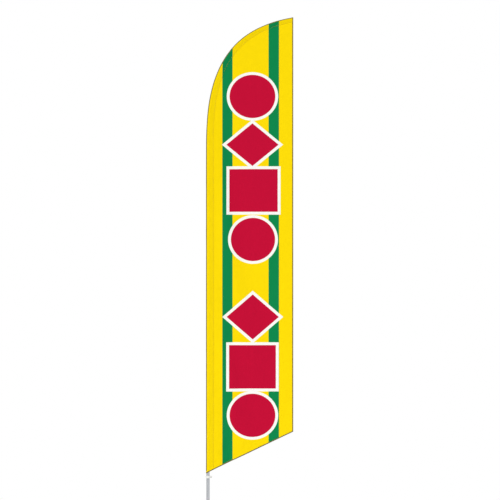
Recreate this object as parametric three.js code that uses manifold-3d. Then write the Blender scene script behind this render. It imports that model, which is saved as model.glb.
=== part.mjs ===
// Feather flag on a bowed plug-in pole, which turns on a ball-bearing swivel in a ground spike.
// Millimetres. Z is up, X runs from the pole to the fly edge, and the printed front faces -Y.
// The origin is on the pole's axis at ground level, under the step plate.
import * as THREE from 'three';
import { mergeVertices } from 'three/addons/utils/BufferGeometryUtils.js';
import Module from 'manifold-3d';

const wasm = await Module();
wasm.setup();

// Fits
const seatGap = 0.3; // between pieces that touch, rest or are welded
const slideGap = 0.4; // round a tube that plugs into another
const hubGap = 0.8; // between the swivel hub and the pole's bore

// Flag
const flagHeight = 3505; // pole-side bottom corner to the tip
const flagWidth = 670; // outer edge of the sleeve to the fly edge
const flagBottom = 1067; // pole-side bottom corner above the ground
const bottomRise = 319; // how much higher the bottom edge is at the fly
const clothThickness = 0.8;
const panelThickness = 1;
const hemWidth = 10;
const bindingHeight = 14;
const bindingGap = 6; // binding's ends short of the seam
const tailLength = 45; // pole axis to the sleeve's seam
const tailThickness = 2.4;
const seamWidth = 4;
const sleeveEase = 1.5; // room between the pole and the sleeve
const sleeveSides = 9; // facets round the sleeve's outside

// Bend of the pole: its curvature grows evenly from nothing to a peak, then fades towards the tip
const bendTurn = THREE.MathUtils.degToRad(79.8);
const bendPeakAt = 0.67; // share of the bend before the peak
const bendTipCurvature = 0.38; // curvature at the tip against the peak
const bendStops = 24;
const stopSlices = 20; // slices of the sum between two stops

// Pole
const poleDiameter = 25.4;
const aluminiumWall = 1.2;
const fibreglassWall = 2;
const sectionCount = 5;
const sprungJoints = 2; // joints with a snap button, from the lowest up
const plugDepth = 150;
const firstRimRise = 65; // rim of the lowest section above the flag's corner, inside the sleeve
const collarHeight = 12;
const tipDiameter = 7;
const tipInset = 12; // rod's end to the fly edge
const tipCapWall = 1.4;
const tipCapLength = 24;
const tipCapBevel = 1;
const pocketWall = 2;
const pocketLength = 42;
const pocketBevel = 2;
const pocketInset = 4; // pocket's end to the fly edge

// Snap buttons
const buttonClear = 7; // button's axis below the tension collar
const buttonDiameter = 6.4;
const buttonProud = 1.5;
const buttonBevel = 1;
const buttonFlange = 1.2;
const buttonFlangeDiameter = 9.2;
const springWidth = 6;
const springStrip = 0.6;
const springLength = 50;
const springRoot = 3.6; // solid part where the two legs meet

// Tension collar, stud and tab
const tensionCollarHeight = 18;
const tensionCollarWall = 4;
const tensionCollarDrop = 20; // collar's top below the flag's corner
const earReach = 14;
const earThickness = 5.7;
const earInset = 2; // ears shorter than the collar at each end
const earSlot = 1.6;
const screwDiameter = 4.2;
const screwHeadDiameter = 7.2;
const screwHeadHeight = 3;
const nutAcross = 8;
const nutHeight = 3;
const screwSpare = 1; // thread past the nut
const studDiameter = 5.2;
const studHeadDiameter = 7.4;
const studHeadHeight = 1.6;
const eyeletBore = 8;
const eyeletWall = 0.8;
const eyeletFlange = 16;
const tabWidth = 22;
const tabThickness = 1.5;
const tabOverlap = 34; // tab sewn on the sleeve above the flag's corner

// Swivel
const bearingBore = 9;
const bearingWidth = 5;
const ballCount = 7;
const cageWidth = 2.6;
const hubLength = 150;
const hubWall = 1.9;
const hubFlangeDiameter = 34;
const hubFlangeHeight = 5;
const hubLipHeight = 3.4;
const bushingFlange = 2;
const bushingRadius = 10;
const ringWidth = 1; // O-ring's section
const ringInset = 24; // O-rings from the ends of the hub
const circlipThickness = 1;
const circlipDepth = 0.6; // of the grooves that hold the circlips
const circlipWidth = 2; // of the ring, seen along its axis
const circlipDrop = 4; // circlips below the hub's top
const spindleStub = 1.5; // spindle above its circlip
const edgeBreak = 0.4; // small bevel on turned ends
const capHeight = 3.6;
const capSkirt = 2.4;
const capWall = 1.4;
const capBevel = 1.2;
const footHeight = 25;
const footWall = 2.2;
const footLip = 2;
const footBevel = 1;

// Ground spike
const rodDiameter = 16;
const spikeDepth = 430;
const pointLength = 60;
const plateLength = 160;
const plateWidth = 50;
const plateThickness = 5;
const plateCorner = 8;
const rodCollarDiameter = 28;
const rodCollarHeight = 6;
const shoulderLength = 18;
const finCount = 4;
const finWidth = 19;
const finThickness = 4;
const finLength = 340;
const finTaper = 140;
const finDrop = 14; // fins below the plate

// Ball bearing that fits inside the hub, shared out between its bore and its outside
const hubRadius = poleDiameter / 2 - aluminiumWall - hubGap;
const hubBore = hubRadius - hubWall;
const bearingOuter = 2 * (hubBore - seatGap);
const bearingRoom = (bearingOuter - bearingBore) / 2;
const innerRaceWall = 0.35 * bearingRoom;
const outerRaceWall = 0.3 * bearingRoom;
const ballDiameter = 0.6 * bearingRoom;
const cageWall = 0.2 * bearingRoom;
const spindleRadius = bearingBore / 2 - seatGap;

// Heights on the swivel, from the ground up
const shoulderTop = plateThickness + seatGap + rodCollarHeight + shoulderLength;
const bushingBottom = shoulderTop + seatGap;
const hubBottom = bushingBottom + bushingFlange + seatGap;
const hubTop = hubBottom + hubLength;
const lowerBearingBottom = hubBottom + hubLipHeight + seatGap;
const circlipTop = hubTop - circlipDrop;
const upperBearingBottom = circlipTop - circlipThickness - seatGap - bearingWidth;
const spindleTop = circlipTop + spindleStub;
const footBottom = hubBottom + hubFlangeHeight + seatGap;
const poleBottom = footBottom + footLip + seatGap;

// Radii of the pole's sections, each plugged into the one below
const sectionWalls = [aluminiumWall, aluminiumWall, aluminiumWall, fibreglassWall];
const sectionOuter = [poleDiameter / 2];
const sectionInner = [];
for (const wall of sectionWalls) {
  sectionInner.push(sectionOuter.at(-1) - wall);
  sectionOuter.push(sectionInner.at(-1) - slideGap);
}

// Sleeve
const sleeveRadius = poleDiameter / 2 + sleeveEase + clothThickness;
const tipCapRadius = tipDiameter / 2 + seatGap + tipCapWall;
const pocketBore = tipCapRadius + slideGap;
const sleeveTipRadius = pocketBore + pocketWall + 2 * seatGap + clothThickness;
const flyEdge = flagWidth - sleeveRadius;
const flagTop = flagBottom + flagHeight;
const bottomSlope = bottomRise / flagWidth;

// The pole's line. Its heading is the sum of its curvature along the bend.
function heading(share) {
  const rise = Math.min(share, bendPeakAt);
  const fall = Math.max(share - bendPeakAt, 0);
  const fade = (1 - bendTipCurvature) / (1 - bendPeakAt);
  return (rise * rise) / (2 * bendPeakAt) + fall - (fade * fall * fall) / 2;
}

function headingAngle(share) {
  return (bendTurn * heading(share)) / heading(1);
}

// The bend for a length of one: how far out and up each stop lies
function unitBend() {
  const slices = bendStops * stopSlices;
  const points = [{ out: 0, up: 0 }];
  let out = 0;
  let up = 0;
  for (let i = 0; i < slices; i += 1) {
    const angle = headingAngle((i + 0.5) / slices);
    out += Math.sin(angle) / slices;
    up += Math.cos(angle) / slices;
    if ((i + 1) % stopSlices === 0) {
      points.push({ out, up });
    }
  }
  return points;
}

const bend = unitBend();
const bendLength = flyEdge / bend.at(-1).out;
const bendStart = flagTop - sleeveTipRadius * Math.sin(bendTurn) - bendLength * bend.at(-1).up;
const poleEnd = bendStart + bendLength;
const tipEnd = poleEnd - tipInset;

// Lengths along the pole at which a bent piece has a ring of vertices
function stopsBetween(from, to) {
  const stops = [from];
  for (let i = 0; i <= bendStops; i += 1) {
    const along = bendStart + (bendLength * i) / bendStops;
    if (along > from + 1 && along < to - 1) {
      stops.push(along);
    }
  }
  stops.push(to);
  return stops;
}

// A place beside the pole's line: offset towards the flag, offset to the back, and length along the line
function besidePole(offset, back, along) {
  if (along <= bendStart) {
    return new THREE.Vector3(offset, back, along);
  }
  const position = Math.min((along - bendStart) / bendLength, 1) * bendStops;
  const index = Math.min(Math.floor(position), bendStops - 1);
  const share = position - index;
  const low = bend[index];
  const high = bend[index + 1];
  const lowAngle = headingAngle(index / bendStops);
  const highAngle = headingAngle((index + 1) / bendStops);
  const across = THREE.MathUtils.lerp(Math.cos(lowAngle), Math.cos(highAngle), share);
  const drop = THREE.MathUtils.lerp(Math.sin(lowAngle), Math.sin(highAngle), share);
  return new THREE.Vector3(
    bendLength * THREE.MathUtils.lerp(low.out, high.out, share) + across * offset,
    back,
    bendStart + bendLength * THREE.MathUtils.lerp(low.up, high.up, share) - drop * offset,
  );
}

function moveVertices(geometry, place) {
  const position = geometry.attributes.position;
  for (let i = 0; i < position.count; i += 1) {
    const moved = place(position.getX(i), position.getY(i), position.getZ(i));
    position.setXYZ(i, moved.x, moved.y, moved.z);
  }
  return geometry;
}

// Bends a piece that was drawn on a straight pole
function bendWithPole(geometry) {
  return moveVertices(geometry, besidePole);
}

// Carries an outline along the pole, with a size factor at each length
function alongPole(shape, from, to, curveSegments = 10, sizeAt = () => 1, placeAt = besidePole) {
  const stops = stopsBetween(from, to);
  const steps = stops.length - 1;
  const options = { depth: steps, steps, bevelEnabled: false, curveSegments };
  const geometry = new THREE.ExtrudeGeometry(shape, options);
  return moveVertices(geometry, (x, y, z) => {
    const along = stops[Math.round(z)];
    return placeAt(x * sizeAt(along), y * sizeAt(along), along);
  });
}

// Turns a profile of [radius, height] points about Z
function turned(profile, segments = 24) {
  const points = profile.map(([radius, height]) => new THREE.Vector2(radius, height));
  return new THREE.LatheGeometry(points, segments).rotateX(Math.PI / 2);
}

function ring(inner, outer, bottom, top, segments = 24) {
  const profile = [[inner, bottom], [outer, bottom], [outer, top], [inner, top], [inner, bottom]];
  return turned(profile, segments);
}

function circle(radius) {
  return new THREE.Shape().absarc(0, 0, radius, 0, 2 * Math.PI);
}

function ringShape(inner, outer) {
  const shape = circle(outer);
  shape.holes.push(circle(inner));
  return shape;
}

function extruded(shape, depth, curveSegments = 8) {
  return new THREE.ExtrudeGeometry(shape, { depth, bevelEnabled: false, curveSegments });
}

function polygon(points) {
  return new THREE.Shape(points.map(([x, y]) => new THREE.Vector2(x, y)));
}

// Round bar along Y, from one back offset to another
function crossBar(radius, from, to, x, z, segments = 16) {
  const length = to - from;
  return new THREE.CylinderGeometry(radius, radius, length, segments).translate(x, (from + to) / 2, z);
}

function solid(geometry) {
  const bare = geometry.clone();
  bare.deleteAttribute('normal');
  bare.deleteAttribute('uv');
  const merged = mergeVertices(bare, 1e-4);
  const vertProperties = new Float32Array(merged.attributes.position.array);
  const triVerts = new Uint32Array(merged.index.array);
  return new wasm.Manifold(new wasm.Mesh({ numProp: 3, vertProperties, triVerts }));
}

function surface(body) {
  const mesh = body.getMesh();
  const geometry = new THREE.BufferGeometry();
  geometry.setAttribute('position', new THREE.BufferAttribute(new Float32Array(mesh.vertProperties), 3));
  geometry.setIndex(new THREE.BufferAttribute(new Uint32Array(mesh.triVerts), 1));
  geometry.computeVertexNormals();
  return geometry;
}

function cut(geometry, ...tools) {
  return surface(tools.reduce((body, tool) => body.subtract(solid(tool)), solid(geometry)));
}

function joined(...pieces) {
  return surface(pieces.slice(1).reduce((body, piece) => body.add(solid(piece)), solid(pieces[0])));
}

// Finishes
const finishes = {
  print: { color: 0xffdf05, roughness: 0.85, metalness: 0 },
  hem: { color: 0xb8a23a, roughness: 0.85, metalness: 0 },
  webbing: { color: 0xe9e9e6, roughness: 0.8, metalness: 0 },
  aluminium: { color: 0xc9ccd0, roughness: 0.35, metalness: 0.9 },
  fibreglass: { color: 0xe4e2dc, roughness: 0.4, metalness: 0 },
  galvanised: { color: 0x9aa0a4, roughness: 0.55, metalness: 0.7 },
  steel: { color: 0xb5b8bb, roughness: 0.3, metalness: 1 },
  nylon: { color: 0xdcdcd8, roughness: 0.5, metalness: 0 },
  rubber: { color: 0x1d1d1e, roughness: 0.85, metalness: 0 },
  brass: { color: 0xc9a24a, roughness: 0.3, metalness: 0.9 },
};

const flag = new THREE.Group();

function add(name, finish, geometry, group = flag) {
  const mesh = new THREE.Mesh(geometry, new THREE.MeshStandardMaterial(finishes[finish]));
  mesh.name = name;
  group.add(mesh);
  return mesh;
}

// Ground spike: a pointed rod that runs up through the plate and ends as the swivel's spindle
function addSpike() {
  const rod = rodDiameter / 2;
  const groove = spindleRadius - circlipDepth;
  const grooveBottom = circlipTop - circlipThickness - seatGap;
  const grooveTop = circlipTop + seatGap;
  const collarBottom = plateThickness + seatGap;
  const profile = [
    [0, -spikeDepth],
    [rod, pointLength - spikeDepth],
    [rod, collarBottom],
    [rodCollarDiameter / 2, collarBottom],
    [rodCollarDiameter / 2, collarBottom + rodCollarHeight],
    [rod, collarBottom + rodCollarHeight],
    [rod, shoulderTop],
    [spindleRadius, shoulderTop],
    [spindleRadius, grooveBottom],
    [groove, grooveBottom],
    [groove, grooveTop],
    [spindleRadius, grooveTop],
    [spindleRadius, spindleTop - edgeBreak],
    [spindleRadius - edgeBreak, spindleTop],
    [0, spindleTop],
  ];
  add('spike_rod', 'galvanised', turned(profile, 20));

  const halfLength = plateLength / 2;
  const halfWidth = plateWidth / 2;
  const plate = new THREE.Shape();
  plate.absarc(halfLength - plateCorner, halfWidth - plateCorner, plateCorner, 0, Math.PI / 2);
  plate.absarc(plateCorner - halfLength, halfWidth - plateCorner, plateCorner, Math.PI / 2, Math.PI);
  plate.absarc(plateCorner - halfLength, plateCorner - halfWidth, plateCorner, Math.PI, 1.5 * Math.PI);
  plate.absarc(halfLength - plateCorner, plateCorner - halfWidth, plateCorner, 1.5 * Math.PI, 2 * Math.PI);
  plate.holes.push(circle(rod + seatGap));
  add('step_plate', 'galvanised', extruded(plate, plateThickness));

  const inner = rod + seatGap;
  const outer = inner + finWidth;
  const fin = polygon([
    [inner, -finDrop],
    [inner, -finDrop - finLength],
    [outer, finTaper - finDrop - finLength],
    [outer, -finDrop],
  ]);
  for (let i = 0; i < finCount; i += 1) {
    const blade = extruded(fin, finThickness).translate(0, 0, -finThickness / 2).rotateX(Math.PI / 2);
    add(`spike_fin_${i + 1}`, 'galvanised', blade).rotation.z = (2 * Math.PI * (i + 0.5)) / finCount;
  }
}

// Profile of a race: a plain ring with a groove for the balls on one side
function raceProfile(plainRadius, grooveRadius, grooveDepth) {
  const half = bearingWidth / 2;
  const shallow = 0.52 * ballDiameter;
  const deep = 0.23 * ballDiameter;
  const side = Math.sign(grooveRadius - plainRadius);
  const bottom = grooveRadius - side * grooveDepth;
  const profile = [
    [plainRadius, -half],
    [grooveRadius, -half],
    [grooveRadius, -shallow],
    [bottom, -deep],
    [bottom, deep],
    [grooveRadius, shallow],
    [grooveRadius, half],
    [plainRadius, half],
    [plainRadius, -half],
  ];
  return side > 0 ? profile : profile.reverse();
}

function addBearing(name, bottom) {
  const middle = bottom + bearingWidth / 2;
  const innerShoulder = bearingBore / 2 + innerRaceWall;
  const outerShoulder = bearingOuter / 2 - outerRaceWall;
  const pitch = (innerShoulder + outerShoulder) / 2;
  const ballReach = ballDiameter / 2 + seatGap;
  const innerRace = raceProfile(bearingBore / 2, innerShoulder, innerShoulder - (pitch - ballReach));
  const outerRace = raceProfile(bearingOuter / 2, outerShoulder, pitch + ballReach - outerShoulder);
  add(`${name}_inner_race`, 'steel', turned(innerRace, 20)).position.z = middle;
  add(`${name}_outer_race`, 'steel', turned(outerRace, 20)).position.z = middle;

  const halfWall = cageWall / 2;
  const pieces = [ring(pitch - halfWall, pitch + halfWall, -cageWidth / 2, cageWidth / 2, 14)];
  for (let i = 0; i < ballCount; i += 1) {
    const angle = (2 * Math.PI * i) / ballCount;
    const ball = new THREE.SphereGeometry(ballDiameter / 2, 6, 5);
    pieces.push(ball.translate(pitch * Math.cos(angle), pitch * Math.sin(angle), 0));
  }
  add(`${name}_balls`, 'steel', joined(...pieces)).position.z = middle;
}

// An open spring ring in the plane of the bearing's face
function circlip(inner, outer, bottom) {
  const mouth = THREE.MathUtils.degToRad(20);
  const shape = new THREE.Shape();
  shape.absarc(0, 0, outer, mouth, 2 * Math.PI - mouth);
  shape.absarc(0, 0, inner, 2 * Math.PI - mouth, mouth, true);
  return extruded(shape, circlipThickness, 8).translate(0, 0, bottom);
}

function addSwivel() {
  const lipBore = bearingOuter / 2 - outerRaceWall - 2 * seatGap;
  const ringSeat = hubRadius - 0.9 * ringWidth;
  const grooveHalf = ringWidth / 2 + slideGap;
  const clipGroove = hubBore + circlipDepth;
  const clipBottom = circlipTop - circlipThickness;

  const bushingTop = lowerBearingBottom - seatGap;
  const boss = bearingBore / 2 + innerRaceWall - seatGap;
  const bushing = [
    [bearingBore / 2, bushingBottom],
    [bushingRadius, bushingBottom],
    [bushingRadius, bushingBottom + bushingFlange],
    [boss, bushingBottom + bushingFlange],
    [boss, bushingTop],
    [bearingBore / 2, bushingTop],
    [bearingBore / 2, bushingBottom],
  ];
  add('thrust_bushing', 'nylon', turned(bushing, 20));

  addBearing('lower_bearing', lowerBearingBottom);
  addBearing('upper_bearing', upperBearingBottom);
  const spacerBottom = lowerBearingBottom + bearingWidth + seatGap;
  const spacerTop = upperBearingBottom - seatGap;
  add('bearing_spacer', 'aluminium', ring(bearingBore / 2, boss, spacerBottom, spacerTop, 20));

  const clipInner = spindleRadius - circlipDepth + seatGap;
  const clipOuter = clipGroove - seatGap;
  add('spindle_circlip', 'steel', circlip(clipInner, clipInner + circlipWidth, clipBottom));
  add('hub_circlip', 'steel', circlip(clipOuter - circlipWidth, clipOuter, clipBottom));

  const ringHeights = [hubBottom + ringInset, hubTop - ringInset];
  const profile = [
    [lipBore, hubBottom],
    [hubFlangeDiameter / 2, hubBottom],
    [hubFlangeDiameter / 2, hubBottom + hubFlangeHeight],
    [hubRadius, hubBottom + hubFlangeHeight],
  ];
  for (const height of ringHeights) {
    profile.push([hubRadius, height - grooveHalf], [ringSeat, height - grooveHalf]);
    profile.push([ringSeat, height + grooveHalf], [hubRadius, height + grooveHalf]);
  }
  profile.push(
    [hubRadius, hubTop],
    [hubBore, hubTop],
    [hubBore, circlipTop + seatGap],
    [clipGroove, circlipTop + seatGap],
    [clipGroove, clipBottom - seatGap],
    [hubBore, clipBottom - seatGap],
    [hubBore, hubBottom + hubLipHeight],
    [lipBore, hubBottom + hubLipHeight],
    [lipBore, hubBottom],
  );
  add('swivel_hub', 'aluminium', turned(profile));

  const ringNames = ['lower_o_ring', 'upper_o_ring'];
  ringHeights.forEach((height, i) => {
    const radius = ringSeat + seatGap + ringWidth / 2;
    add(ringNames[i], 'rubber', new THREE.TorusGeometry(radius, ringWidth / 2, 6, 24)).position.z = height;
  });

  const skirt = hubBore - seatGap;
  const capRadius = hubRadius - edgeBreak;
  const cap = [
    [0, hubTop + seatGap],
    [skirt - capWall, hubTop + seatGap],
    [skirt - capWall, hubTop - capSkirt],
    [skirt, hubTop - capSkirt],
    [skirt, hubTop + seatGap],
    [capRadius, hubTop + seatGap],
    [capRadius, hubTop + capHeight - capBevel],
    [capRadius - capBevel, hubTop + capHeight],
    [0, hubTop + capHeight],
  ];
  add('hub_cap', 'nylon', turned(cap, 20));
}

// Where the rim of each section lies along the pole. The lowest is just inside the sleeve, and the
// others share what is left evenly.
function rimOf(section) {
  const firstRim = flagBottom + firstRimRise;
  return firstRim + (section * (tipEnd - firstRim)) / (sectionCount - 1);
}

function tipRadius(along) {
  const rim = rimOf(sectionCount - 2);
  const share = Math.max((along - rim) / (tipEnd - rim), 0);
  return THREE.MathUtils.lerp(sectionOuter.at(-1), tipDiameter / 2, share);
}

// Where the button of each sprung joint lies along the pole: the lowest is under the tension collar
function buttonHeight(joint) {
  const drop = firstRimRise + tensionCollarDrop + tensionCollarHeight + buttonClear;
  return rimOf(joint) - drop;
}

function addPole() {
  const lip = hubRadius + slideGap;
  const bore = sectionOuter[0] + seatGap;
  const outside = bore + footWall;
  const foot = [
    [lip, footBottom],
    [outside - footBevel, footBottom],
    [outside, footBottom + footBevel],
    [outside, footBottom + footHeight - footBevel],
    [outside - footBevel, footBottom + footHeight],
    [bore, footBottom + footHeight],
    [bore, footBottom + footLip],
    [lip, footBottom + footLip],
    [lip, footBottom],
  ];
  add('pole_foot', 'nylon', turned(foot));

  const holeRadius = buttonDiameter / 2 + slideGap;
  for (let i = 0; i < sectionCount - 1; i += 1) {
    const bottom = i === 0 ? poleBottom : rimOf(i - 1) - plugDepth;
    const finish = i === sectionCount - 2 ? 'fibreglass' : 'aluminium';
    if (rimOf(i) > bendStart) {
      const tube = ringShape(sectionInner[i], sectionOuter[i]);
      add(`pole_section_${i + 1}`, finish, alongPole(tube, bottom, rimOf(i), 8));
    } else {
      const holes = [i - 1, i].filter((joint) => joint >= 0 && joint < sprungJoints);
      const drill = (joint) => crossBar(holeRadius, -poleDiameter, 0, 0, buttonHeight(joint), 12);
      const tube = ring(sectionInner[i], sectionOuter[i], bottom, rimOf(i));
      add(`pole_section_${i + 1}`, finish, cut(tube, ...holes.map(drill)));
    }
  }
  const tip = alongPole(circle(1), rimOf(sectionCount - 2) - plugDepth, tipEnd, 6, tipRadius);
  add(`pole_section_${sectionCount}`, 'fibreglass', tip);

  // Each stop collar is fixed on its upper section and rests on the rim of the lower one
  for (let i = 0; i < sectionCount - 1; i += 1) {
    const bottom = rimOf(i) + seatGap;
    const collar = ringShape(sectionOuter[i + 1] + seatGap, sectionOuter[i]);
    add(`joint_${i + 1}_collar`, 'nylon', alongPole(collar, bottom, bottom + collarHeight));
  }

  const capBottom = tipEnd - tipCapLength;
  const capTop = tipEnd + seatGap + tipCapWall;
  const capBore = tipRadius(capBottom) + seatGap;
  const cap = [
    [0, tipEnd + seatGap],
    [capBore, tipEnd + seatGap],
    [capBore, capBottom],
    [tipCapRadius, capBottom],
    [tipCapRadius, capTop - tipCapBevel],
    [tipCapRadius - tipCapBevel, capTop],
    [0, capTop],
  ];
  add('tip_cap', 'rubber', bendWithPole(turned(cap, 12)));
}

// A snap button on a V spring inside the upper section. It passes through both tubes, towards the front.
function addSnapButton(joint) {
  const height = buttonHeight(joint);
  const bore = sectionInner[joint + 1];
  const flangeRadius = buttonFlangeDiameter / 2;
  const flangeFront = Math.sqrt(bore * bore - flangeRadius * flangeRadius) - seatGap;
  const flangeBack = flangeFront - buttonFlange;
  const head = sectionOuter[joint] + buttonProud;
  const radius = buttonDiameter / 2;
  const profile = [
    [0, flangeBack],
    [flangeRadius, flangeBack],
    [flangeRadius, flangeFront],
    [radius, flangeFront],
    [radius, head - buttonBevel],
    [radius - buttonBevel, head],
    [0, head],
  ];
  const button = turned(profile, 16).rotateX(Math.PI / 2).translate(0, 0, height);
  add(`joint_${joint + 1}_button`, 'steel', button);

  const front = flangeBack - seatGap;
  const halfStrip = springWidth / 2;
  const back = Math.sqrt(bore * bore - halfStrip * halfStrip) - slideGap;
  const top = height + flangeRadius + seatGap;
  const bottom = top - springLength;
  const strip = polygon([
    [-front, top],
    [-springStrip, bottom],
    [springStrip, bottom],
    [back, top],
    [back - springStrip, top],
    [0, bottom + springRoot],
    [springStrip - front, top],
  ]);
  const leaf = extruded(strip, springWidth).translate(0, 0, -halfStrip);
  const upright = moveVertices(leaf, (x, y, z) => new THREE.Vector3(z, x, y));
  add(`joint_${joint + 1}_spring`, 'steel', upright);
}

// Size of the sleeve's section: full along the straight pole, smaller towards the tip
function sleeveSize(along) {
  const share = Math.max((along - bendStart) / bendLength, 0);
  return THREE.MathUtils.lerp(1, sleeveTipRadius / sleeveRadius, share);
}

// Height of the flag's bottom edge, which rises from the pole to the fly
function bottomEdge(x) {
  return flagBottom + bottomSlope * (x + sleeveRadius);
}

// Angle round the pole at which a drop's straight side begins
function sideAngle(radius, tail, thickness) {
  return Math.atan2(thickness / 2, tail) + Math.acos(radius / Math.hypot(tail, thickness / 2));
}

// Outline of a drop: round at the pole, with straight sides that meet at the seam
function drop(radius, tail, thickness) {
  const angle = sideAngle(radius, tail, thickness);
  const shape = new THREE.Shape();
  shape.moveTo(tail, thickness / 2);
  shape.absarc(0, 0, radius, angle, 2 * Math.PI - angle);
  shape.lineTo(tail, -thickness / 2);
  return shape;
}

// A place on the sleeve, whose two ends lie in the flag's slanting bottom edge and in its fly edge
function onSleeve(offset, back, along) {
  const place = besidePole(offset, back, along);
  if (along === flagBottom) {
    place.z = bottomEdge(offset);
  }
  if (along === poleEnd) {
    place.z += (flyEdge - place.x) / Math.tan(bendTurn);
    place.x = flyEdge;
  }
  return place;
}

function addSleeve() {
  const section = drop(sleeveRadius, tailLength, tailThickness);
  section.holes.push(drop(sleeveRadius - clothThickness, tailLength - seamWidth, tailThickness / 4));
  const runs = { sleeve_straight: [flagBottom, bendStart], sleeve_bend: [bendStart + seatGap, poleEnd] };
  for (const [name, [from, to]] of Object.entries(runs)) {
    add(name, 'print', alongPole(section, from, to, sleeveSides, sleeveSize, onSleeve));
  }

  const pocketTop = poleEnd - pocketInset;
  const pocketBottom = pocketTop - pocketLength;
  const pocketRadius = pocketBore + pocketWall;
  const capClear = tipEnd + seatGap + tipCapWall + seatGap;
  const pocket = [
    [0, capClear],
    [pocketBore, capClear],
    [pocketBore, pocketBottom],
    [pocketRadius, pocketBottom],
    [pocketRadius, pocketTop - pocketBevel],
    [pocketRadius - pocketBevel, pocketTop],
    [0, pocketTop],
  ];
  add('tip_pocket', 'webbing', bendWithPole(turned(pocket, 16)));

  // Binding round the mouth: a band on the outside of the sleeve, open at the seam
  const inner = sleeveRadius + seatGap;
  const outer = inner + clothThickness;
  const angle = sideAngle(sleeveRadius, tailLength, tailThickness);
  const side = Math.sqrt(tailLength ** 2 - sleeveRadius ** 2) - bindingGap;
  const end = (radius) => [
    radius * Math.cos(angle) + side * Math.sin(angle),
    radius * Math.sin(angle) - side * Math.cos(angle),
  ];
  const [outerX, outerY] = end(outer);
  const [innerX, innerY] = end(inner);
  const band = new THREE.Shape();
  band.moveTo(outerX, outerY);
  band.absarc(0, 0, outer, angle, 2 * Math.PI - angle);
  band.lineTo(outerX, -outerY);
  band.lineTo(innerX, -innerY);
  band.absarc(0, 0, inner, 2 * Math.PI - angle, angle, true);
  band.lineTo(innerX, innerY);
  const bound = moveVertices(extruded(band, bindingHeight, sleeveSides), (x, y, z) => {
    return new THREE.Vector3(x, y, z + bottomEdge(x));
  });
  add('mouth_binding', 'hem', bound);
}

// A hem folded round an edge: a channel with the panel's edge inside, cut to a length
function channel(length) {
  const halfGap = panelThickness / 2 + seatGap;
  const half = halfGap + clothThickness;
  const shape = polygon([
    [0, -half],
    [0, half],
    [-hemWidth, half],
    [-hemWidth, halfGap],
    [-clothThickness, halfGap],
    [-clothThickness, -halfGap],
    [-hemWidth, -halfGap],
    [-hemWidth, -half],
  ]);
  return new THREE.ExtrudeGeometry(shape, { depth: length, bevelEnabled: false });
}

function addPanel() {
  const edge = flyEdge - clothThickness - seatGap;
  const start = tailLength + seatGap;
  const lift = (clothThickness + seatGap) * Math.hypot(1, bottomSlope);
  const outline = new THREE.Shape();
  outline.moveTo(edge, bottomEdge(edge) + lift);
  let cornerHeight = 0;
  const seam = stopsBetween(flagBottom, poleEnd).slice(1).reverse();
  for (const along of seam) {
    const place = besidePole(tailLength * sleeveSize(along) + seatGap, 0, along);
    if (place.x < edge) {
      if (cornerHeight === 0) {
        const angle = headingAngle((along - bendStart) / bendLength);
        cornerHeight = place.z + (edge - place.x) / Math.tan(angle);
        outline.lineTo(edge, cornerHeight);
      }
      outline.lineTo(place.x, place.z);
    }
  }
  outline.lineTo(start, bottomEdge(start) + lift);
  const panel = extruded(outline, panelThickness).translate(0, 0, -panelThickness / 2);
  add('flag_panel', 'print', panel.rotateX(Math.PI / 2));

  const flyBottom = bottomEdge(flyEdge);
  const flyTop = cornerHeight - seatGap - hemWidth / Math.tan(bendTurn);
  add('fly_hem', 'hem', channel(flyTop - flyBottom)).position.set(flyEdge, 0, flyBottom);

  const tilt = Math.atan(bottomSlope);
  const hemStart = start + hemWidth * Math.sin(tilt);
  const hemEnd = flyEdge - hemWidth - seatGap;
  const hem = add('bottom_hem', 'hem', channel((hemEnd - hemStart) / Math.cos(tilt)));
  hem.rotation.set(0, Math.PI / 2 - tilt, 0);
  hem.position.set(hemStart, 0, bottomEdge(hemStart));
}

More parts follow.
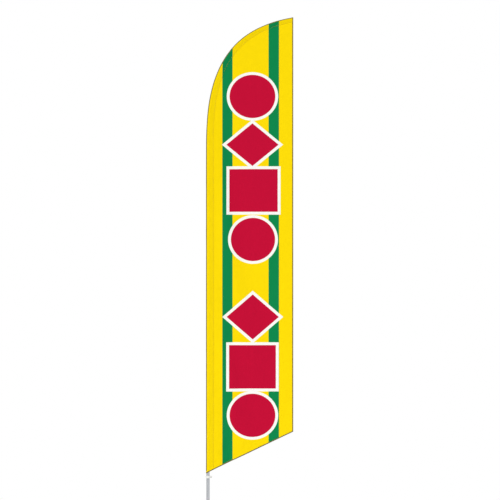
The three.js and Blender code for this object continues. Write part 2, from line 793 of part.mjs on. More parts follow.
// Collar clamped on the pole under the flag, its stud, and the webbing tab that pulls the flag down
function addTension() {
  const inner = sectionOuter[0] + seatGap;
  const outer = inner + tensionCollarWall;
  const top = flagBottom - tensionCollarDrop;
  const bottom = top - tensionCollarHeight;
  const middle = (top + bottom) / 2;
  const earEnd = outer + earReach;
  const earDepth = 2 * earThickness + earSlot;
  const earStart = (inner + outer) / 2;
  const ears = new THREE.BoxGeometry(earEnd - earStart, earDepth, tensionCollarHeight - 2 * earInset);
  ears.translate((earEnd + earStart) / 2, 0, middle);
  const slot = new THREE.BoxGeometry(earEnd, earSlot, 2 * tensionCollarHeight);
  slot.translate(earEnd / 2 + earSlot, 0, middle);
  const screwX = (outer + earEnd) / 2;
  const screwHole = crossBar(screwDiameter / 2 + seatGap, -earDepth, earDepth, screwX, middle, 12);
  const studHole = crossBar(studDiameter / 2 + seatGap, 0, 2 * outer, 0, middle, 12);
  const body = joined(ring(inner, outer, bottom, top), ears);
  add('tension_collar', 'nylon', cut(body, slot, screwHole, studHole));

  const face = earDepth / 2 + seatGap;
  const shank = face + nutHeight + screwSpare;
  const screw = [
    [0, -face - screwHeadHeight],
    [screwHeadDiameter / 2, -face - screwHeadHeight],
    [screwHeadDiameter / 2, -face],
    [screwDiameter / 2, -face],
    [screwDiameter / 2, shank],
    [0, shank],
  ];
  const alongY = (geometry, x, z) => geometry.rotateX(-Math.PI / 2).translate(x, 0, z);
  add('collar_screw', 'steel', alongY(turned(screw, 12), screwX, middle));
  const corner = nutAcross / Math.sqrt(3);
  const turns = [0, 1, 2, 3, 4, 5].map((side) => (side * Math.PI) / 3);
  const nut = polygon(turns.map((turn) => [corner * Math.cos(turn), corner * Math.sin(turn)]));
  nut.holes.push(circle(screwDiameter / 2 + seatGap));
  add('collar_nut', 'steel', alongY(extruded(nut, nutHeight, 6).translate(0, 0, face), screwX, middle));

  // The eyelet hangs with its lower rim on the stud, so its centre is a little higher
  const tabFront = outer + eyeletWall + 2 * seatGap;
  const tabBack = tabFront + tabThickness;
  const eyeletInner = eyeletBore / 2;
  const eyeletOuter = eyeletInner + eyeletWall;
  const eyeletHeight = middle + eyeletInner - studDiameter / 2 - seatGap;
  const flangeFront = tabFront - seatGap - eyeletWall;
  const flangeBack = tabBack + seatGap + eyeletWall;
  const stud = [
    [0, inner + seatGap],
    [studDiameter / 2, inner + seatGap],
    [studDiameter / 2, flangeBack + seatGap],
    [studHeadDiameter / 2, flangeBack + seatGap],
    [studHeadDiameter / 2, flangeBack + seatGap + studHeadHeight],
    [0, flangeBack + seatGap + studHeadHeight],
  ];
  add('tension_stud', 'steel', alongY(turned(stud, 16), 0, middle));

  const eyelet = [
    [eyeletInner, flangeFront],
    [eyeletFlange / 2, flangeFront],
    [eyeletFlange / 2, tabFront - seatGap],
    [eyeletOuter, tabFront - seatGap],
    [eyeletOuter, tabBack + seatGap],
    [eyeletFlange / 2, tabBack + seatGap],
    [eyeletFlange / 2, flangeBack],
    [eyeletInner, flangeBack],
    [eyeletInner, flangeFront],
  ];
  add('tab_eyelet', 'brass', alongY(turned(eyelet, 20), 0, eyeletHeight));

  const halfTab = tabWidth / 2;
  const tab = new THREE.Shape();
  tab.moveTo(halfTab, flagBottom + tabOverlap);
  tab.lineTo(-halfTab, flagBottom + tabOverlap);
  tab.absarc(0, eyeletHeight, halfTab, Math.PI, 2 * Math.PI);
  const hole = new THREE.Path().absarc(0, eyeletHeight, eyeletOuter + seatGap, 0, 2 * Math.PI);
  tab.holes.push(hole);
  const strap = extruded(tab, tabThickness).rotateX(Math.PI / 2).translate(0, tabBack, 0);
  add('tension_tab', 'webbing', strap);
}

addSpike();
addSwivel();
addPole();
for (let joint = 0; joint < sprungJoints; joint += 1) {
  addSnapButton(joint);
}
addSleeve();
addPanel();
addTension();

export default flag;
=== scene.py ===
import math

import bmesh
import bpy
from mathutils import Matrix, Vector, noise


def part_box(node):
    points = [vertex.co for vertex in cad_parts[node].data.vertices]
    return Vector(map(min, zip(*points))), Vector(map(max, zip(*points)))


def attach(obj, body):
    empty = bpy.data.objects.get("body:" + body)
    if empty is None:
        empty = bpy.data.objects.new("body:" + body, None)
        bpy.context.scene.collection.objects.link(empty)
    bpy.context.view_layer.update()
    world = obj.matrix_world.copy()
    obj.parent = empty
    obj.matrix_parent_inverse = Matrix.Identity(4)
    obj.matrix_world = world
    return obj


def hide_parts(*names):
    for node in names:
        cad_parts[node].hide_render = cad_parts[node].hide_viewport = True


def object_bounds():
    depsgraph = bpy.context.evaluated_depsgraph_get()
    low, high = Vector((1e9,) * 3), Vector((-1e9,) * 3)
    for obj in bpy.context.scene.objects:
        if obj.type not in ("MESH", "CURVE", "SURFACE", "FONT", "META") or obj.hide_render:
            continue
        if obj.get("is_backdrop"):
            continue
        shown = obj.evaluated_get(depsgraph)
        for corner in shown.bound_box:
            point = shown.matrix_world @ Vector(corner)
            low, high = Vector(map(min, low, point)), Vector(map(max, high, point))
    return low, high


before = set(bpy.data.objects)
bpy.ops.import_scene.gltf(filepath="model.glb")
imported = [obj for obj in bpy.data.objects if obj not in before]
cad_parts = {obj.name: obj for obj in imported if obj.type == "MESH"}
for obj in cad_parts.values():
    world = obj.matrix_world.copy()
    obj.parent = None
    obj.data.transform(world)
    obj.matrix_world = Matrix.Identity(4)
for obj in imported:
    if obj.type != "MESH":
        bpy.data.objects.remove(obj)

scene = bpy.context.scene
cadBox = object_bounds()
print("frame loaded")

# Lengths are metres, in the frame of the CAD model: Z up, the print faces -Y


# Tools for meshes


def mm(*values):
    scaled = tuple(value / 1000 for value in values)
    return scaled if len(scaled) > 1 else scaled[0]


def between(low, high, share):
    return low + (high - low) * share


def eased(low, high, value):
    share = min(max((value - low) / (high - low), 0), 1)
    return share * share * (3 - 2 * share)


def addPiece(name, bm, slot, body, smoothBelow=35, finish=None, node=None):
    # node is the CAD node that the piece stands for
    mesh = bpy.data.meshes.new(name)
    bm.to_mesh(mesh)
    bm.free()
    for material in finish or (finishes[slot],):
        mesh.materials.append(material)
    mesh.shade_smooth()
    mesh.set_sharp_from_angle(angle=math.radians(smoothBelow))
    piece = bpy.data.objects.new(name, mesh)
    scene.collection.objects.link(piece)
    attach(piece, body)
    if node:
        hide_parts(node)
    return piece


def spunRound(bm, outline, segments):
    bmesh.ops.spin(
        bm, geom=outline, cent=(0, 0, 0), axis=(0, 0, 1), angle=2 * math.pi, steps=segments, use_merge=True
    )
    bmesh.ops.remove_doubles(bm, verts=bm.verts, dist=1e-6)
    bmesh.ops.recalc_face_normals(bm, faces=bm.faces)


def turned(profile, segments, bevel=0.0, sharper=25):
    # Turns a closed or axis-to-axis profile of (radius, height) about Z and softens its corners
    bm = bmesh.new()
    points = [bm.verts.new((radius, 0, height)) for radius, height in profile]
    edges = [bm.edges.new(pair) for pair in zip(points, points[1:])]
    if profile[0][0] > 0 or profile[-1][0] > 0:
        edges.append(bm.edges.new((points[-1], points[0])))
    spunRound(bm, points + edges, segments)
    if bevel > 0:
        softened(bm, bevel, sharper)
    return bm


def softened(bm, width, sharper=25, segments=2):
    limit = math.radians(sharper)
    sharp = [edge for edge in bm.edges if len(edge.link_faces) == 2 and edge.calc_face_angle(0) > limit]
    bmesh.ops.bevel(
        bm, geom=sharp, offset=width, offset_type="OFFSET", segments=segments, profile=0.5,
        affect="EDGES", material=-1, clamp_overlap=True,
    )


def moved(bm, matrix):
    bmesh.ops.transform(bm, matrix=matrix, verts=bm.verts)
    return bm


def alongY(bm, x, z):
    # A turned piece whose height runs to the back
    return moved(bm, Matrix.Translation((x, 0, z)) @ Matrix.Rotation(-math.pi / 2, 4, "X"))


def addTurned(name, node, profile, slot, body, smoothBelow, segments, bevel=0.0, sharper=25, across=None):
    # across is the x and z of an axis that runs to the back
    bm = turned(profile, segments, bevel, sharper)
    if across:
        alongY(bm, *across)
    return addPiece(name, bm, slot, body, smoothBelow, node=node)


def corners(radius, height, *points):
    # Points of a profile, in mm out from that radius and up from that height
    return [(radius + mm(out), height + mm(up)) for out, up in points]


def ringSection(inner, outer, low, high):
    return [(inner, low), (outer, low), (outer, high), (inner, high)]


def roundBar(radius, depth, segments=32, turn=0.0):
    bm = bmesh.new()
    bmesh.ops.create_cone(bm, cap_ends=True, segments=segments, radius1=radius, radius2=radius, depth=depth)
    return moved(bm, Matrix.Rotation(turn, 4, "Z"))


def crossBar(radius, x, y, z, depth, segments=32, turn=0.0):
    # A bar that runs to the back, with its middle at that place
    return moved(alongY(roundBar(radius, depth, segments, turn), x, z), Matrix.Translation((0, y, 0)))


def withModifiers(piece):
    # Swaps the mesh for its finished one, and takes the modifiers off
    graph = bpy.context.evaluated_depsgraph_get()
    finished = bpy.data.meshes.new_from_object(piece.evaluated_get(graph))
    piece.modifiers.clear()
    piece.data = finished
    return piece


def cutAway(piece, *tools, way="DIFFERENCE"):
    # Takes the tools out of the piece, or adds them to it where way is UNION
    tools = [toolFrom(bm) for bm in tools]
    for tool in tools:
        cut = piece.modifiers.new("cut", "BOOLEAN")
        cut.operation = way
        cut.solver = "EXACT"
        cut.object = tool
    withModifiers(piece)
    for tool in tools:
        bpy.data.objects.remove(tool)
    return piece


def toolFrom(bm):
    mesh = bpy.data.meshes.new("tool")
    bm.to_mesh(mesh)
    bm.free()
    tool = bpy.data.objects.new("tool", mesh)
    scene.collection.objects.link(tool)
    return tool


def block(low, high):
    bm = bmesh.new()
    bmesh.ops.create_cube(bm, size=1)
    low, high = Vector(low), Vector(high)
    return moved(bm, Matrix.Translation((low + high) / 2) @ Matrix.Diagonal((high - low).to_4d()))


# Tools for materials


def ink(red, green, blue):
    # A printed or painted colour on the 0 to 255 scale, made linear
    channels = [value / 255 for value in (red, green, blue)]
    linear = [value / 12.92 if value <= 0.04045 else ((value + 0.055) / 1.055) ** 2.4 for value in channels]
    return (*linear, 1)


def feed(tree, socket, value):
    if isinstance(value, bpy.types.NodeSocket):
        tree.links.new(value, socket)
    else:
        socket.default_value = value


def maths(tree, operation, *values, clamp=False):
    step = tree.nodes.new("ShaderNodeMath")
    step.operation = operation
    step.use_clamp = clamp
    for socket, value in zip(step.inputs, values):
        feed(tree, socket, value)
    return step.outputs[0]


def mixed(tree, share, first, second, way="MIX"):
    step = tree.nodes.new("ShaderNodeMix")
    step.data_type = "RGBA"
    step.blend_type = way
    for index, value in ((0, share), (6, first), (7, second)):
        feed(tree, step.inputs[index], value)
    return step.outputs[2]


def speckle(tree, where, size, detail=2.0, roughness=0.5):
    # Noise whose blotches are about size across
    step = tree.nodes.new("ShaderNodeTexNoise")
    tree.links.new(where, step.inputs["Vector"])
    step.inputs["Scale"].default_value = 1 / size
    step.inputs["Detail"].default_value = detail
    step.inputs["Roughness"].default_value = roughness
    return step.outputs[0]


def stretched(tree, where, x, y, z):
    step = tree.nodes.new("ShaderNodeMapping")
    tree.links.new(where, step.inputs["Vector"])
    step.inputs["Scale"].default_value = (x, y, z)
    return step.outputs[0]


def ranged(tree, value, low, high):
    step = tree.nodes.new("ShaderNodeMapRange")
    feed(tree, step.inputs["Value"], value)
    step.inputs["To Min"].default_value = low
    step.inputs["To Max"].default_value = high
    return step.outputs[0]


def ribs(tree, value, pitch):
    # A sine wave from 0 to 1 with that pitch
    wave = maths(tree, "SINE", maths(tree, "MULTIPLY", value, 2 * math.pi / pitch))
    return maths(tree, "MULTIPLY_ADD", wave, 0.5, 0.5)


def bumped(tree, shader, height, depth, strength=1.0):
    step = tree.nodes.new("ShaderNodeBump")
    step.inputs["Strength"].default_value = strength
    step.inputs["Distance"].default_value = depth
    tree.links.new(height, step.inputs["Height"])
    tree.links.new(step.outputs[0], shader.inputs["Normal"])


def offMiddle(tree, value, middle):
    return maths(tree, "ABSOLUTE", maths(tree, "SUBTRACT", value, middle))


def axes(tree, where):
    split = tree.nodes.new("ShaderNodeSeparateXYZ")
    tree.links.new(where, split.inputs[0])
    return split.outputs


def coloured(tree, shader, colour, roughness=None):
    feed(tree, shader.inputs["Base Color"], colour)
    if roughness is not None:
        feed(tree, shader.inputs["Roughness"], roughness)


def startMaterial(name, roughness, metallic=0.0, specular=0.5):
    material = bpy.data.materials.new(name)
    material.use_nodes = True
    tree = material.node_tree
    shader = tree.nodes["Principled BSDF"]
    shader.inputs["Roughness"].default_value = roughness
    shader.inputs["Metallic"].default_value = metallic
    shader.inputs["Specular IOR Level"].default_value = specular
    where = tree.nodes.new("ShaderNodeTexCoord").outputs["Object"]
    return material, tree, shader, where


# Camera, light and floor

studio = {
    "lens": 200,
    "sensor": 36,
    "frameWidth": 3.845,  # width of the view at the flag
    "centre": (0.323, 2.783),  # x and z at the middle of the view
    "floorRadius": 9.0,
    "clipEnd": 200,
    "skyLight": 0.66,
    # name, strength, then degrees: spread, to the viewer's right of the front, above the ground
    "suns": (
        ("keyLight", 1.5, 50, -38, 42),
        ("fillLight", 0.35, 90, 60, 15),
        ("backLight", 0.35, 90, 190, 30),
    ),
}

camera = bpy.data.objects.new("camera", bpy.data.cameras.new("camera"))
scene.collection.objects.link(camera)
scene.camera = camera
camera.data.lens = studio["lens"]
camera.data.sensor_width = studio["sensor"]
camera.data.clip_end = studio["clipEnd"]
camera.location = (
    studio["centre"][0], -studio["frameWidth"] * studio["lens"] / studio["sensor"], studio["centre"][1]
)
camera.rotation_euler = (math.pi / 2, 0, 0)

world = bpy.data.worlds.new("studio")
scene.world = world
world.use_nodes = True
sky = world.node_tree
backdrop = sky.nodes["Background"]
backdrop.inputs["Color"].default_value = (1, 1, 1, 1)
seen = sky.nodes.new("ShaderNodeLightPath").outputs["Is Camera Ray"]
feed(sky, backdrop.inputs["Strength"], maths(sky, "MAXIMUM", seen, studio["skyLight"]))
scene.view_settings.view_transform = "Standard"
scene.view_settings.look = "None"

for name, strength, spread, fromSide, fromAbove in studio["suns"]:
    sun = bpy.data.objects.new(name, bpy.data.lights.new(name, "SUN"))
    sun.data.energy = strength
    sun.data.angle = math.radians(spread)
    sun.rotation_euler = (math.radians(90 - fromAbove), 0, math.radians(fromSide))
    scene.collection.objects.link(sun)

floorMaterial, tree, shader, where = startMaterial("paleFloor", 0.9, specular=0.1)
coloured(tree, shader, mixed(tree, speckle(tree, where, 0.4), (0.86, 0.86, 0.855, 1), (0.9, 0.9, 0.895, 1)))
glow = tree.nodes.new("ShaderNodeEmission")
spread = tree.nodes.new("ShaderNodeVectorMath")
spread.operation = "LENGTH"
tree.links.new(where, spread.inputs[0])
fade = tree.nodes.new("ShaderNodeMapRange")
fade.interpolation_type = "SMOOTHSTEP"
fade.inputs["From Min"].default_value = 0.25 * studio["floorRadius"]
fade.inputs["From Max"].default_value = 0.95 * studio["floorRadius"]
tree.links.new(spread.outputs["Value"], fade.inputs["Value"])
blendOut = tree.nodes.new("ShaderNodeMixShader")
tree.links.new(fade.outputs[0], blendOut.inputs[0])
tree.links.new(shader.outputs[0], blendOut.inputs[1])
tree.links.new(glow.outputs[0], blendOut.inputs[2])
tree.links.new(blendOut.outputs[0], tree.nodes["Material Output"].inputs["Surface"])

bm = bmesh.new()
bmesh.ops.create_circle(bm, cap_ends=True, radius=studio["floorRadius"], segments=96)
moved(bm, Matrix.Translation((0, 0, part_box("spike_rod")[0].z - mm(0.5))))
floorMesh = bpy.data.meshes.new("floor")
bm.to_mesh(floorMesh)
bm.free()
floorMesh.materials.append(floorMaterial)
floor = bpy.data.objects.new("floor", floorMesh)
scene.collection.objects.link(floor)
floor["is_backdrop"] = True
print("camera, light and floor")


# Finishes

printing = {
    "yellow": ink(249, 217, 2),
    "green": ink(10, 132, 74),
    "red": ink(193, 10, 52),
    "white": ink(247, 247, 241),
    # Colour of the dark overlock thread, and of the painted shade along the sleeve's fold
    "edge": ink(110, 96, 38),
    "bare": ink(244, 243, 236),
    "fading": 0.05,  # how far the reverse pales towards bare cloth
    "stripes": ((0.1495, 0.0392), (0.5058, 0.0400)),  # middle and half width
    "softness": mm(1.6),  # of the print's edges
    "outline": mm(22),
    "foldShadeWidth": mm(6.6),  # width of the painted shade: a dark band inside the outline, round the sleeve's fold over the pole
    # kind, middle x, middle z, half width, half height
    "shapes": (
        ("disc", 0.342, 3.964, 0.176, 0.166),
        ("diamond", 0.342, 3.593, 0.201, 0.164),
        ("block", 0.350, 3.241, 0.186, 0.164),
        ("disc", 0.346, 2.864, 0.170, 0.166),
        ("diamond", 0.344, 2.268, 0.201, 0.173),
        ("block", 0.342, 1.884, 0.180, 0.167),
        ("disc", 0.342, 1.511, 0.176, 0.166),
    ),
}


def shapeDistance(tree, x, z, kind, middleX, middleZ, halfWidth, halfHeight):
    # How far outside the shape a place is, below 0 inside it
    across = offMiddle(tree, x, middleX)
    up = offMiddle(tree, z, middleZ)
    if kind == "disc":
        tall = maths(tree, "MULTIPLY", up, halfWidth / halfHeight)
        squares = maths(tree, "MULTIPLY_ADD", tall, tall, maths(tree, "MULTIPLY", across, across))
        return maths(tree, "SUBTRACT", maths(tree, "SQRT", squares), halfWidth)
    if kind == "diamond":
        slope = math.hypot(halfWidth, halfHeight)
        leaning = maths(tree, "MULTIPLY_ADD", across, halfHeight / slope, -halfWidth * halfHeight / slope)
        return maths(tree, "MULTIPLY_ADD", up, halfWidth / slope, leaning)
    beyondSide = maths(tree, "SUBTRACT", across, halfWidth)
    beyondTop = maths(tree, "SUBTRACT", up, halfHeight)
    return maths(tree, "MAXIMUM", beyondSide, beyondTop)


def inside(tree, distance, margin=0.0):
    # 1 inside that margin, 0 outside it, with a soft edge
    soft = printing["softness"]
    return maths(tree, "MULTIPLY_ADD", distance, -1 / soft, margin / soft + 0.5, clamp=True)


def printedCloth(name, reverse=False, paintedFoldShade=False):
    material, tree, shader, where = startMaterial(name, 0.82, specular=0.05)
    flat = tree.nodes.new("ShaderNodeUVMap")
    flat.uv_map = "flat"
    x, z = axes(tree, flat.outputs[0])[:2]

    colour = printing["yellow"]
    for middle, half in printing["stripes"]:
        colour = mixed(tree, inside(tree, offMiddle(tree, x, middle), half), colour, printing["green"])
    nearest = None
    for shape in printing["shapes"]:
        distance = shapeDistance(tree, x, z, *shape)
        nearest = distance if nearest is None else maths(tree, "MINIMUM", nearest, distance)
    colour = mixed(tree, inside(tree, nearest, printing["outline"]), colour, printing["white"])
    colour = mixed(tree, inside(tree, nearest), colour, printing["red"])
    # Painted shade: a dark band along the sleeve's fold, where the rounded cloth turns away from the front
    if paintedFoldShade:
        depth = tree.nodes.new("ShaderNodeAttribute")
        depth.attribute_name = "insideOutline"
        line = inside(tree, depth.outputs["Fac"], printing["foldShadeWidth"])
        colour = mixed(tree, line, colour, printing["edge"])
    if reverse:
        colour = mixed(tree, printing["fading"], colour, printing["bare"])

    # Knitted polyester: fine columns of loops, crossed by rows, and ink that took a little unevenly
    columns = ribs(tree, x, mm(0.9))
    rows = ribs(tree, z, mm(1.2))
    knit = maths(tree, "MULTIPLY", columns, rows)
    blotch = ranged(tree, speckle(tree, flat.outputs[0], 0.05, 3), 0.965, 1.03)
    grain = ranged(tree, speckle(tree, flat.outputs[0], mm(2.5), 2), 0.975, 1.02)
    # Painted shade: the gaps between the loops are a little darker; blotch and grain are the uneven ink
    shade = maths(tree, "MULTIPLY", maths(tree, "MULTIPLY", blotch, grain), ranged(tree, knit, 0.97, 1.01))
    tint = tree.nodes.new("ShaderNodeCombineColor")
    for socket in tint.inputs[:3]:
        tree.links.new(shade, socket)
    rough = ranged(tree, speckle(tree, flat.outputs[0], mm(8), 2), 0.76, 0.9)
    coloured(tree, shader, mixed(tree, 1.0, colour, tint.outputs[0], "MULTIPLY"), rough)
    shader.inputs["Sheen Weight"].default_value = 0.03
    shader.inputs["Sheen Roughness"].default_value = 0.5
    bumped(tree, shader, knit, mm(0.12), 0.6)
    return material


def threadMaterial(name, colour, pitch, roughness=0.75):
    material, tree, shader, where = startMaterial(name, roughness, specular=0.25)
    x, y, z = axes(tree, where)
    slant = maths(tree, "ADD", maths(tree, "ADD", x, y), z)
    twist = ribs(tree, slant, pitch)
    fuzz = speckle(tree, where, mm(0.8), 3)
    # Painted shade: the thread is darker in the grooves of its twist; the fuzz gives a random tone
    dark = tuple(value * 0.62 for value in colour[:3]) + (1,)
    shade = maths(tree, "MULTIPLY", twist, ranged(tree, fuzz, 0.7, 1.2), clamp=True)
    coloured(tree, shader, mixed(tree, shade, dark, colour))
    shader.inputs["Sheen Weight"].default_value = 0.15
    bumped(tree, shader, maths(tree, "ADD", twist, maths(tree, "MULTIPLY", fuzz, 0.5)), mm(0.35))
    return material


def webbingMaterial():
    material, tree, shader, where = startMaterial("wovenWebbing", 0.78, specular=0.2)
    x, y, z = axes(tree, where)
    weave = maths(tree, "MULTIPLY", ribs(tree, z, mm(1.5)), ribs(tree, x, mm(1.1)))
    dirt = speckle(tree, where, mm(9), 4, 0.6)
    # Painted shade: the webbing is darker in the dips of its weave, between the yarns; the dirt is real
    # grime
    colour = mixed(tree, ranged(tree, weave, 0.35, 1.0), ink(176, 175, 168), ink(238, 237, 230))
    colour = mixed(tree, ranged(tree, dirt, 0.0, 0.25), colour, ink(196, 190, 174))
    coloured(tree, shader, colour)
    bumped(tree, shader, weave, mm(0.4))
    return material


def aluminiumMaterial():
    # Drawn and anodised: fine lines along the tube, small scuffs
    material, tree, shader, where = startMaterial("anodisedAluminium", 0.38, metallic=1.0)
    lines = speckle(tree, stretched(tree, where, 1, 1, 0.01), mm(0.8), 3)
    cloud = speckle(tree, where, 0.06, 3)
    scuffs = speckle(tree, stretched(tree, where, 1, 1, 0.15), mm(6), 5, 0.7)
    bright = mixed(tree, cloud, ink(196, 199, 203), ink(214, 216, 219))
    colour = mixed(tree, ranged(tree, lines, 0.0, 0.35), bright, ink(168, 171, 176))
    rough = maths(tree, "ADD", ranged(tree, lines, 0.28, 0.42), ranged(tree, scuffs, -0.05, 0.1))
    coloured(tree, shader, colour, rough)
    shader.inputs["Anisotropic"].default_value = 0.4
    bumped(tree, shader, lines, mm(0.03), 0.5)
    return material


def fibreglassMaterial():
    # Pultruded rod: long glass fibres under resin
    material, tree, shader, where = startMaterial("pultrudedFibreglass", 0.35)
    fibres = speckle(tree, stretched(tree, where, 1, 1, 0.02), mm(0.9), 4, 0.6)
    cloud = speckle(tree, where, 0.04, 3)
    colour = mixed(tree, fibres, ink(206, 202, 186), ink(240, 238, 229))
    colour = mixed(tree, ranged(tree, cloud, 0.0, 0.3), colour, ink(216, 210, 188))
    coloured(tree, shader, colour, ranged(tree, fibres, 0.28, 0.45))
    bumped(tree, shader, fibres, mm(0.05), 0.6)
    return material


def galvanisedMaterial():
    # Hot-dip zinc: crystal patches with their own greys and gloss, and a lumpy skin
    material, tree, shader, where = startMaterial("galvanisedSteel", 0.5, metallic=0.85)
    crystals = tree.nodes.new("ShaderNodeTexVoronoi")
    tree.links.new(where, crystals.inputs["Vector"])
    crystals.inputs["Scale"].default_value = 1 / mm(7)
    crystals.inputs["Randomness"].default_value = 1.0
    grey = tree.nodes.new("ShaderNodeSeparateColor")
    tree.links.new(crystals.outputs["Color"], grey.inputs[0])
    grain = maths(tree, "MULTIPLY", speckle(tree, where, mm(3), 4), 0.4)
    patches = maths(tree, "MULTIPLY_ADD", grey.outputs[0], 0.6, grain)
    stains = speckle(tree, where, 0.03, 5, 0.65)
    zinc = mixed(tree, patches, ink(132, 138, 142), ink(184, 189, 192))
    colour = mixed(tree, ranged(tree, stains, 0.0, 0.35), zinc, ink(150, 150, 146))
    coloured(tree, shader, colour, ranged(tree, patches, 0.38, 0.62))
    lumps = maths(tree, "ADD", speckle(tree, where, mm(12), 3), maths(tree, "MULTIPLY", patches, 0.15))
    bumped(tree, shader, lumps, mm(0.5), 0.5)
    return material


def turnedMetal(name, light, dark, roughness):
    # Lathe-turned and polished: fine rings, with a few dull spots
    material, tree, shader, where = startMaterial(name, roughness, metallic=1.0)
    rings = speckle(tree, stretched(tree, where, 0.05, 0.05, 1), mm(0.5), 2)
    spots = speckle(tree, where, mm(5), 4, 0.6)
    rough = ranged(tree, spots, roughness - 0.08, roughness + 0.12)
    coloured(tree, shader, mixed(tree, ranged(tree, spots, 0.0, 0.6), light, dark), rough)
    bumped(tree, shader, rings, mm(0.02), 0.5)
    return material


def mouldedPlastic(name, light, dark, roughness, grainDepth=0.05):
    material, tree, shader, where = startMaterial(name, roughness)
    grain = speckle(tree, where, mm(0.7), 3)
    cloud = speckle(tree, where, mm(15), 3)
    rough = ranged(tree, grain, roughness - 0.08, roughness + 0.12)
    coloured(tree, shader, mixed(tree, cloud, light, dark), rough)
    bumped(tree, shader, grain, mm(grainDepth), 0.6)
    return material


clothFront = printedCloth("printedCloth")
clothReverse = printedCloth("printedClothReverse", reverse=True)
# The sleeve's cloth, with painted shade along its fold
clothSleeve = printedCloth("printedClothSleeveFoldShade", paintedFoldShade=True)
overlockThread = threadMaterial("edgeThread", printing["edge"], mm(2.4))
sewingThread = threadMaterial("sewingThread", ink(236, 208, 60), mm(0.6), 0.6)
whiteThread = threadMaterial("whiteThread", ink(236, 235, 228), mm(0.6), 0.6)
finishes = {
    "printed_cloth": clothFront,
    "hem_thread": overlockThread,
    "white_webbing": webbingMaterial(),
    "anodised_aluminium": aluminiumMaterial(),
    "fibreglass": fibreglassMaterial(),
    "galvanised_steel": galvanisedMaterial(),
    "bright_steel": turnedMetal("brightSteel", ink(204, 206, 208), ink(168, 170, 172), 0.26),
    "white_nylon": mouldedPlastic("whiteNylon", ink(236, 236, 231), ink(222, 222, 215), 0.42),
    "black_rubber": mouldedPlastic("blackRubber", ink(34, 34, 35), ink(48, 47, 46), 0.7, 0.12),
    "brass": turnedMetal("brass", ink(218, 184, 104), ink(176, 136, 70), 0.24),
}
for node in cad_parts.values():
    slot = node.material_slots[0]
    slot.material = finishes[slot.material.name]
print("finishes")


# The pole's line, which the cloth follows

poleLine = {
    "turn": math.radians(79.8),  # from upright to the tip's heading
    "peakAt": 0.67,  # share of the bend where it curves most
    "tipCurvature": 0.38,  # at the tip, against the peak
    "slices": 700,
}
sleeve = {
    "radius": mm(15),
    "tipRadius": mm(9),
    "tail": mm(45),  # pole axis to the seam
    "layer": mm(0.9),  # cloth surface to the middle plane at the seam
    "around": 44,
    "steps": 440,
    "wrinkle": mm(0.55),
    "mouthBlend": 0.09,
    "endBlend": 0.07,
    "endClose": mm(4),
    "thickness": mm(0.5),
}
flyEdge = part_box("fly_hem")[1].x
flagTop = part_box("sleeve_bend")[1].z
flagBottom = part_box("sleeve_straight")[0].z
bottomSlope = (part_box("fly_hem")[0].z - flagBottom) / (flyEdge + sleeve["radius"])


def headingShare(share):
    rise = min(share, poleLine["peakAt"])
    fall = max(share - poleLine["peakAt"], 0)
    fade = (1 - poleLine["tipCurvature"]) / (1 - poleLine["peakAt"])
    return rise * rise / (2 * poleLine["peakAt"]) + fall - fade * fall * fall / 2


def headingAt(share):
    return poleLine["turn"] * headingShare(share) / headingShare(1)


bendOut = [0.0]
bendUp = [0.0]
for step in range(poleLine["slices"]):
    angle = headingAt((step + 0.5) / poleLine["slices"])
    bendOut.append(bendOut[-1] + math.sin(angle) / poleLine["slices"])
    bendUp.append(bendUp[-1] + math.cos(angle) / poleLine["slices"])
bendLength = flyEdge / bendOut[-1]
bendStart = flagTop - sleeve["tipRadius"] * math.sin(poleLine["turn"]) - bendLength * bendUp[-1]
poleEnd = bendStart + bendLength


def besidePole(offset, back, along):
    # A place beside the pole: towards the flag, to the back, and up along the pole
    share = min(max((along - bendStart) / bendLength, 0), 1)
    position = share * poleLine["slices"]
    index = min(int(position), poleLine["slices"] - 1)
    out = between(bendOut[index], bendOut[index + 1], position - index) * bendLength
    up = between(bendUp[index], bendUp[index + 1], position - index) * bendLength
    angle = headingAt(share)
    low = min(along, bendStart)
    return Vector((out + math.cos(angle) * offset, back, low + up - math.sin(angle) * offset))


def sizeAt(along):
    share = min(max((along - bendStart) / bendLength, 0), 1)
    return between(1, sleeve["tipRadius"] / sleeve["radius"], share)


def bottomEdge(x):
    return flagBottom + bottomSlope * (x + sleeve["radius"])


sideAngle = math.atan2(sleeve["layer"], sleeve["tail"]) + math.acos(
    sleeve["radius"] / math.hypot(sleeve["tail"], sleeve["layer"])
)
arcLength = (math.pi - sideAngle) * sleeve["radius"]
sideLength = math.sqrt(sleeve["tail"] ** 2 + sleeve["layer"] ** 2 - sleeve["radius"] ** 2)
halfWrap = arcLength + sideLength
foldOffset = sleeve["tail"] - halfWrap  # where the fold lies on the flat cloth


def wrapped(reach, lift=0.0):
    # Section of the sleeve: reach is how far the cloth has run from the fold, above 0 on the front
    radius = sleeve["radius"] + lift
    size = abs(reach)
    if size < arcLength:
        angle = math.pi - size / sleeve["radius"]
        offset, back = radius * math.cos(angle), radius * math.sin(angle)
    else:
        run = size - arcLength
        offset = radius * math.cos(sideAngle) + run * math.sin(sideAngle)
        back = radius * math.sin(sideAngle) - run * math.cos(sideAngle)
    return offset, -back if reach > 0 else back


